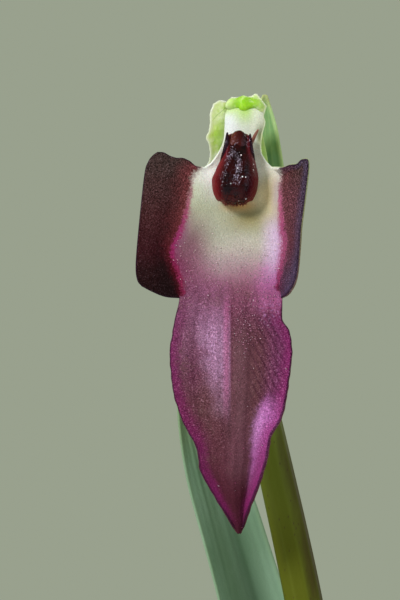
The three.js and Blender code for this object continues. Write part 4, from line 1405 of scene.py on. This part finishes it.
def paint_collar(g):
    across, h, edge = g.marks("place")
    cloud = g.grain(0.5, 3.0)
    fine = g.grain(0.12, 2.0)
    cream = g.blend((0.92, 0.94, 0.86), (0.84, 0.90, 0.70), cloud.rise(0.4, 0.7))
    green = g.blend((0.82, 0.89, 0.68), (0.74, 0.84, 0.52), cloud.rise(0.35, 0.6))
    flap = (across + cloud * 0.08).rise(0.40, 0.24)
    colour = g.blend(cream, green, flap * 0.85)
    blotch = (h + (cloud - 0.5) * 1.5).near(30.3, 1.1) * across.near(0.12, 0.18)
    colour = colour.wash((0.70, 0.84, 0.32), blotch * 0.85)
    white = (h + across * 3 + (cloud - 0.5)).rise(29.4, 28.4)
    colour = colour.wash((0.97, 0.98, 0.98), white * 0.8)
    top = (h + cloud * 0.5).rise(31.9, 32.5)
    colour = colour.wash((0.58, 0.74, 0.30), top * across.rise(0.2, 0.5) * 0.85)
    side = across.rise(0.84, 0.94)
    colour = colour.wash((0.78, 0.87, 0.58), side * 0.6)
    colour = colour.wash((0.54, 0.60, 0.30), side * h.near(29.6, 1.4) * 0.8)
    vein = (across * COLLAR_WIDTH - (h - 31.2) * 0.75 + fine * 0.1).near(0.1, 0.07) * h.rise(31.0, 31.4)
    colour = colour.wash((0.45, 0.60, 0.26), vein * 0.6)
    colour = colour.wash((0.78, 0.86, 0.60), across.rise(0.12, 0.0) * 0.6)
    colour = colour.wash((0.90, 0.94, 0.82), (edge + fine * 0.1).rise(0.2, 0.02) * 0.5)
    back = g.mark("side").rise(0.5, -0.5)
    colour = colour.wash((0.62, 0.76, 0.38), back * 0.7)
    return look(colour, 0.38 + fine * 0.2, g.relief(cloud * 0.7 + fine * 0.5, 0.10, 0.5))


def paint_roll(g):
    cloud = g.grain(0.45, 3.0)
    fine = g.grain(0.12, 2.0)
    swelling = g.mark("swelling")
    x, _, z = g.parts(g.space())
    u, h = x - FLOWER_X + (cloud - 0.5), z - FLOWER_TIP
    colour = u.tints(
        (-0.8, (0.74, 0.84, 0.58)),
        (-0.35, (0.70, 0.82, 0.46)),
        (0.0, (0.60, 0.79, 0.26)),
        (1.1, (0.58, 0.78, 0.18)),
        (1.6, (0.64, 0.78, 0.36)),
        (2.1, (0.68, 0.80, 0.48)),
    )
    colour = colour.wash((0.80, 0.89, 0.66), cloud.rise(0.50, 0.66) * 0.6)
    # Partly the roll's pale underside, partly painted light that lifts the shade under the roll.
    pale_lit_underside = (h + (cloud - 0.5) * 0.8).rise(32.3, 31.8) * (1 - swelling)
    colour = colour.wash((0.92, 0.97, 0.75), pale_lit_underside * 0.8)
    colour = colour.wash((0.58, 0.80, 0.05), swelling * 0.8)
    return look(colour, 0.45 + fine * 0.2, g.relief(cloud * 0.5 + fine * 0.5, 0.08, 0.5))


def paint_ovary(g):
    along = g.marks("place")[0]
    cloud = g.grain(1.1, 3.0)
    fine = g.grain(0.18, 2.0)
    colour = along.tints(
        (0.0, (0.45, 0.53, 0.22)),
        (0.5, (0.50, 0.64, 0.28)),
        (1.0, (0.66, 0.80, 0.38)),
    )
    colour = colour.wash((0.40, 0.30, 0.24), cloud.rise(0.52, 0.75) * 0.35)
    rib = g.mark("ribs")
    colour = colour.wash((0.66, 0.78, 0.46), rib.rise(0.4, 1.0) * 0.4)
    return look(colour, 0.40 + fine * 0.2, g.relief(fine * 0.6 + cloud * 0.4, 0.08, 0.5))


def paint_stem(g):
    right = g.marks("place")[2]
    z = g.parts(g.space())[2]
    cloud = g.grain(1.4, 3.0, stretch=(1, 1, 0.25))
    fine = g.grain(0.16, 2.0, stretch=(1, 1, 0.4))
    colour = z.tints(
        (60, (0.58, 0.62, 0.42)),
        (100, (0.42, 0.50, 0.24)),
        (160, (0.30, 0.34, 0.05)),
        (205, (0.32, 0.34, 0.04)),
        (213, (0.38, 0.43, 0.13)),
        (220, (0.45, 0.53, 0.22)),
    )
    purple = (right * 0.6 + (cloud - 0.5) * 0.8).rise(0.1, 0.55) * z.rise(100, 170) * z.rise(221, 210)
    colour = colour.wash((0.23, 0.18, 0.07), purple * 0.75)
    ribs = g.mark("ribs")
    colour = colour.wash((0.38, 0.42, 0.12), ribs.rise(0.6, 1.0) * 0.2)
    dots = g.cells(0.5, (1, 1, 0.6)).rise(0.16, 0.08)
    colour = colour.wash((0.24, 0.12, 0.12), dots * z.rise(120, 180) * 0.5)
    return look(colour, 0.5 + fine * 0.2, g.relief(fine * 0.6 + ribs * 0.15, 0.06, 0.5))


def paint_leaf(g):
    side, along, from_edge = g.marks("blade")
    cloud = g.grain(6.0, 3.0)
    bloom = g.grain(1.2, 3.0, stretch=(1, 1, 0.3))
    fine = g.grain(0.25, 2.0)
    colour = along.tints(
        (0.0, (0.62, 0.68, 0.48)),
        (0.14, (0.50, 0.62, 0.46)),
        (0.35, (0.44, 0.57, 0.46)),
        (0.9, (0.43, 0.56, 0.45)),
        (1.0, (0.48, 0.54, 0.34)),
    )
    colour = colour.wash((0.54, 0.66, 0.57), cloud.rise(0.35, 0.7) * 0.5)
    colour = colour.wash((0.54, 0.65, 0.57), bloom.rise(0.40, 0.75) * 0.25)
    veins = (side * 34 + cloud * 1.5).wave()
    colour = colour.wash((0.52, 0.64, 0.54), veins.rise(0.0, 1.0) * 0.08)
    back = g.mark("side").rise(0.5, -0.5)
    # Painted shade down the channel along the midrib, on the upper face.
    fold = side.near(0, 0.55) * 0.6 + side.near(0, 0.12) * 0.15
    colour = colour.wash((0.20, 0.32, 0.21), fold * (1 - back))
    colour = colour.wash((0.52, 0.62, 0.54), back * 0.35)
    colour = colour.wash((0.52, 0.62, 0.46), from_edge.rise(0.35, 0.1) * 0.25)
    tip = (along + (cloud - 0.5) * 0.06).rise(0.965, 0.995)
    colour = colour.wash((0.50, 0.40, 0.24), tip * 0.6)
    return look(colour, 0.48 + fine * 0.2, g.relief(veins * 0.08 + fine * 0.5, 0.08, 0.5))


def paint_bract(g):
    side, along, from_edge = g.marks("blade")
    cloud = g.grain(2.0, 3.0)
    fine = g.grain(0.2, 2.0)
    colour = g.blend((0.52, 0.66, 0.42), (0.44, 0.60, 0.40), cloud.rise(0.35, 0.65))
    veins = (side * 20 + cloud).wave()
    colour = colour.wash((0.62, 0.74, 0.50), veins.rise(0.3, 1.0) * 0.3)
    colour = colour.wash((0.70, 0.80, 0.56), from_edge.rise(0.3, 0.05) * 0.6)
    colour = colour.wash((0.64, 0.62, 0.40), along.rise(0.95, 1.0) * 0.5)
    return look(colour, 0.45 + fine * 0.2, g.relief(veins * 0.2 + fine * 0.5, 0.06, 0.5))


def paint_clay(g):
    z = g.parts(g.space())[2]
    cloud = g.grain(14.0, 4.0, 0.6)
    patch = g.grain(5.0, 4.0, 0.6)
    fine = g.grain(0.5, 3.0, 0.6)
    band = g.grain(1.6, 3.0, stretch=(0.1, 0.1, 1))
    colour = g.blend((0.72, 0.42, 0.28), (0.62, 0.33, 0.22), cloud.rise(0.35, 0.65))
    colour = colour.wash((0.78, 0.50, 0.36), band.rise(0.45, 0.7) * 0.5)
    damp = (z + (cloud - 0.5) * 26).rise(30, 4)
    colour = colour.wash((0.46, 0.25, 0.18), damp * 0.55)
    bloom = (patch + z * 0.001).rise(0.45, 0.85)
    colour = colour.wash((0.80, 0.70, 0.62), bloom * 0.45)
    moss = (g.grain(3.0, 4.0, 0.65) + (z - 70) * 0.004).rise(0.58, 0.72) * (z + cloud * 20).rise(58, 74)
    colour = colour.wash((0.40, 0.44, 0.22), moss * 0.5)
    speck = g.cells(1.7).rise(0.14, 0.06)
    colour = colour.wash((0.36, 0.20, 0.15), speck * 0.6)
    pale = g.cells(2.9).rise(0.10, 0.05)
    colour = colour.wash((0.90, 0.80, 0.70), pale * 0.6)
    pits = g.cells(0.9).rise(0.22, 0.05)
    relief = g.relief(fine * 0.6 + band * 0.5 - pits * 0.5, 0.30, 0.6)
    return look(colour, 0.82 - damp * 0.2 + fine * 0.1, relief)


def paint_soil(g):
    lumps = g.grain(2.2, 5.0, 0.65)
    fine = g.grain(0.4, 4.0, 0.6)
    colour = g.blend((0.17, 0.12, 0.09), (0.32, 0.23, 0.16), lumps.rise(0.35, 0.68))
    colour = colour.wash((0.42, 0.33, 0.24), fine.rise(0.6, 0.75) * 0.6)
    fleck = g.cells(1.3).rise(0.12, 0.05)
    colour = colour.wash((0.62, 0.56, 0.46), fleck * 0.7)
    return look(colour, 0.9 + fine * 0.1, g.relief(lumps * 0.6 + fine * 0.6, 0.9, 0.8))


def paint_bark(g):
    tint = g.mark("tint")
    grain = g.grain(0.5, 3.0, stretch=(1, 1, 2.5))
    colour = tint.tints(
        (0.0, (0.24, 0.15, 0.10)),
        (0.5, (0.42, 0.28, 0.18)),
        (0.8, (0.52, 0.38, 0.26)),
        (1.0, (0.34, 0.27, 0.22)),
    )
    colour = colour.wash((0.16, 0.10, 0.07), grain.rise(0.45, 0.65) * 0.6)
    return look(colour, 0.85 + grain * 0.1, g.relief(grain, 0.3, 0.7))


def paint_perlite(g):
    tint = g.mark("tint")
    grain = g.grain(0.35, 3.0)
    colour = g.blend((0.88, 0.86, 0.80), (0.72, 0.68, 0.60), tint * grain.rise(0.4, 0.7))
    return look(colour, 0.8 + grain * 0.1, g.relief(grain, 0.25, 0.7))


def paint_velvet(g):
    """The lip's hairs, coloured as the skin under them but paler towards white."""
    z = g.parts(g.space())[2] - FLOWER_TIP
    colour = z.tints(
        (0.0, (0.46, 0.14, 0.30)),
        (12.0, (0.58, 0.30, 0.44)),
        (17.0, (0.76, 0.52, 0.64)),
        (22.0, (0.88, 0.78, 0.80)),
        (33.0, (0.95, 0.95, 0.88)),
    )
    colour = colour.wash((0.97, 0.90, 0.96), g.mark("tint").rise(0.75, 1.0) * 0.8)
    return look(colour, 0.3 + g.grain(0.1, 1.0) * 0.2)


def paint_fuzz(g):
    grain = g.grain(0.1, 1.0)
    colour = g.blend((0.36, 0.08, 0.08), (0.50, 0.16, 0.10), grain)
    return look(colour, 0.4 + grain * 0.2)


def paint_floor(g):
    mottle = g.grain(90.0, 3.0)
    fine = g.grain(2.0, 3.0)
    colour = g.blend((0.87, 0.87, 0.85), (0.84, 0.84, 0.82), mottle)
    return look(colour, 0.7 + fine * 0.1, g.relief(fine, 0.05, 0.3))


def soaked(weight, reach, ways):
    """How light soaks into a finish: how much, and how far in millimetres for red, green and blue."""
    return {"subsurface_weight": weight, "subsurface_scale": reach * MM, "subsurface_radius": ways}


SOFT_TISSUE = soaked(0.25, 0.6, (1.0, 0.6, 0.4))
SHEER_TISSUE = soaked(0.9, 1.2, (0.9, 1.0, 0.6))
LIP_TISSUE = soaked(0.1, 0.4, (1.0, 0.6, 0.4))
CALLUS_TISSUE = soaked(0.15, 0.6, (1.0, 0.1, 0.1))
WET_TINT = (0.86, 0.76, 1.0, 1.0)
LIP_FINISH = finish("velvet_lip", paint_lip, specular_ior_level=0.07, **LIP_TISSUE)
CALLUS_FINISH = finish("wet_callus", paint_callus, ior=1.31, specular_tint=WET_TINT, **CALLUS_TISSUE)
COLLAR_FINISH = finish("torn_tissue", paint_collar, coat_weight=0.1, coat_roughness=0.3, **SHEER_TISSUE)
ROLL_FINISH = finish("swollen_tissue", paint_roll, specular_ior_level=0.3, **SHEER_TISSUE)
OVARY_FINISH = finish("ovary_skin", paint_ovary, coat_weight=0.15, coat_roughness=0.3, **SOFT_TISSUE)
STEM_FINISH = finish("stem_skin", paint_stem, specular_ior_level=0.15)
LEAF_FINISH = finish("waxy_leaf", paint_leaf, specular_ior_level=0.35)
# The bract's green is lighter than the leaves', partly painted light for its front face, which lies in
# shade.
BRACT_FINISH = finish("lightened_bract", paint_bract, specular_ior_level=0.35, **SOFT_TISSUE)
CLAY_FINISH = finish("terracotta", paint_clay)
SOIL_FINISH = finish("damp_soil", paint_soil)
BARK_FINISH = finish("bark_chips", paint_bark)
PERLITE_FINISH = finish("perlite", paint_perlite)
VELVET_FINISH = finish("lip_hairs", paint_velvet)
FUZZ_FINISH = finish("callus_hairs", paint_fuzz)
FLOOR_FINISH = finish("pale_floor", paint_floor)

# The pieces, each in place of its CAD node: name, maker, finish, slot and node

FLOWER_PIECES = (
    ("lip_surface", lip_surface, LIP_FINISH, "lip_maroon", "lip"),
    ("callus_body", callus_body, CALLUS_FINISH, "callus_red", "callus"),
    ("ovary_body", ovary_body, OVARY_FINISH, "fresh_green", "ovary"),
    ("collar_sheet", collar_sheet, COLLAR_FINISH, "fresh_green", "ovary"),
    ("collar_roll", collar_roll, ROLL_FINISH, "fresh_green", "ovary"),
    ("stem_skin", stem_skin, STEM_FINISH, "stem_green", "stem"),
    ("bract_blade", bract_blade, BRACT_FINISH, "leaf_green", "bract"),
)
pieces = {}
for name, make, material, slot, node in FLOWER_PIECES:
    pieces[name] = fit(object_of(name, make(), material), slot, node)
for number, options in enumerate(ROSETTE, 1):
    made = object_of(f"rosette_blade_{number}", rosette_blade(number, options), LEAF_FINISH)
    fit(made, "leaf_green", f"rosette_leaf_{number}")
STEM_LEAVES = ((LOW_LEAF, 0.0), (HIGH_LEAF, -0.25))
for number, (options, fold) in enumerate(STEM_LEAVES, 1):
    made = stem_blade(len(ROSETTE) + number, options, fold)
    fit(object_of(f"stem_blade_{number}", made, LEAF_FINISH), "leaf_green", f"stem_leaf_{number}")

raw_pot = object_of("raw_pot", pot_body(), CLAY_FINISH)
drills = object_of("drills", drill_body(), CLAY_FINISH)
drain = raw_pot.modifiers.new("drain", "BOOLEAN")
drain.object = drills
drain.solver = "EXACT"
fit(settled(raw_pot, "pot_body"), "clay", "pot")
bpy.data.objects.remove(raw_pot)
bpy.data.objects.remove(drills)
soil = fit(object_of("soil_body", soil_body(), SOIL_FINISH), "potting_mix", "soil")

# What lies or grows on them: name, surface, tree, finish, slot, sizes, number a square metre, slimness
# and seed

HAIRS = growth_tree("hairs", spike)
CRUMBS = growth_tree("crumbs", crumb)
LOOSE_PIECES = (
    ("soil_crumbs", soil, CRUMBS, BARK_FINISH, "potting_mix", (0.7, 2.2), 7e5, 0.7, 4),
    ("bark_pieces", soil, CRUMBS, BARK_FINISH, "potting_mix", (3.0, 6.5), 2.5e4, 0.5, 7),
    ("perlite_grains", soil, CRUMBS, PERLITE_FINISH, "potting_mix", (1.0, 2.4), 3.5e4, 0.9, 9),
    ("lip_hairs", pieces["lip_surface"], HAIRS, VELVET_FINISH, "lip_maroon", (0.04, 0.18), 3.6e7, 0.5, 2),
    ("callus_fringe", pieces["callus_body"], HAIRS, FUZZ_FINISH, "callus_red", (0.10, 0.22), 9e7, 0.3, 3),
)
for name, surface, tree, material, slot, sizes, density, slimness, seed in LOOSE_PIECES:
    lean, sink = (0.5, 0.02) if tree == HAIRS else (1.5, 0.1)
    made = grown(
        name, surface, tree, material, sizes, density=density, slimness=slimness, lean=lean, sink=sink,
        seed=seed,
    )
    fit(made, slot)

# Camera, lights and floor

LIGHT_TARGET = (0, 0, 190)
FLOOR_RADIUS = 2200
FLOOR_SIDES = 96
FLOOR_DROP = 0.05
AMBIENT = 0.5


def aimed(thing, place, target):
    """Puts a lamp or camera at a place, facing a target, both in millimetres."""
    bpy.context.scene.collection.objects.link(thing)
    thing.location = Vector(place) * MM
    facing = Vector(target) - Vector(place)
    thing.rotation_euler = facing.to_track_quat("-Z", "Y").to_euler()
    return thing


def soft_light(name, place, size, watts, colour):
    lamp = bpy.data.lights.new(name, "AREA")
    lamp.shape = "DISK"
    lamp.size = size * MM
    lamp.energy = watts
    lamp.color = colour
    return aimed(bpy.data.objects.new(name, lamp), place, LIGHT_TARGET)


camera_x = FLOWER_X + (PHOTO_WIDTH / 2 - MIDLINE_PIXEL) / PIXELS_PER_MM
camera_z = FLOWER_TIP + (TIP_PIXEL - PHOTO_HEIGHT / 2) / PIXELS_PER_MM
lens = bpy.data.cameras.new("camera")
lens.sensor_width = SENSOR
lens.lens = SENSOR * CAMERA_DISTANCE * PIXELS_PER_MM / PHOTO_HEIGHT
lens.clip_start = 0.01
lens.clip_end = 20
camera_place = (camera_x, FLOWER_Y - CAMERA_DISTANCE, camera_z)
camera = aimed(bpy.data.objects.new("camera", lens), camera_place, (camera_x, 0, camera_z))
bpy.context.scene.camera = camera

soft_light("key_light", (-600, -560, 720), 260, 8.0, (1.0, 0.99, 0.98))
soft_light("fill_light", (620, -520, 420), 600, 1.6, (0.96, 0.97, 1.0))
soft_light("back_light", (300, 700, 620), 500, 3.0, (1.0, 1.0, 0.96))

turn = circle(FLOOR_SIDES)
ring = np.stack([FLOOR_RADIUS * np.cos(turn), FLOOR_RADIUS * np.sin(turn), 0 * turn - FLOOR_DROP], -1)
floor = object_of("floor", (ring, [list(range(FLOOR_SIDES))], {}), FLOOR_FINISH)

world = bpy.data.worlds.new("studio")
world.use_nodes = True
bpy.context.scene.world = world
backing = world.node_tree.nodes["Background"]
backing.inputs["Color"].default_value = shade(0.82, 0.86, 0.76)
backing.inputs["Strength"].default_value = AMBIENT
bpy.context.scene.view_settings.view_transform = "Standard"
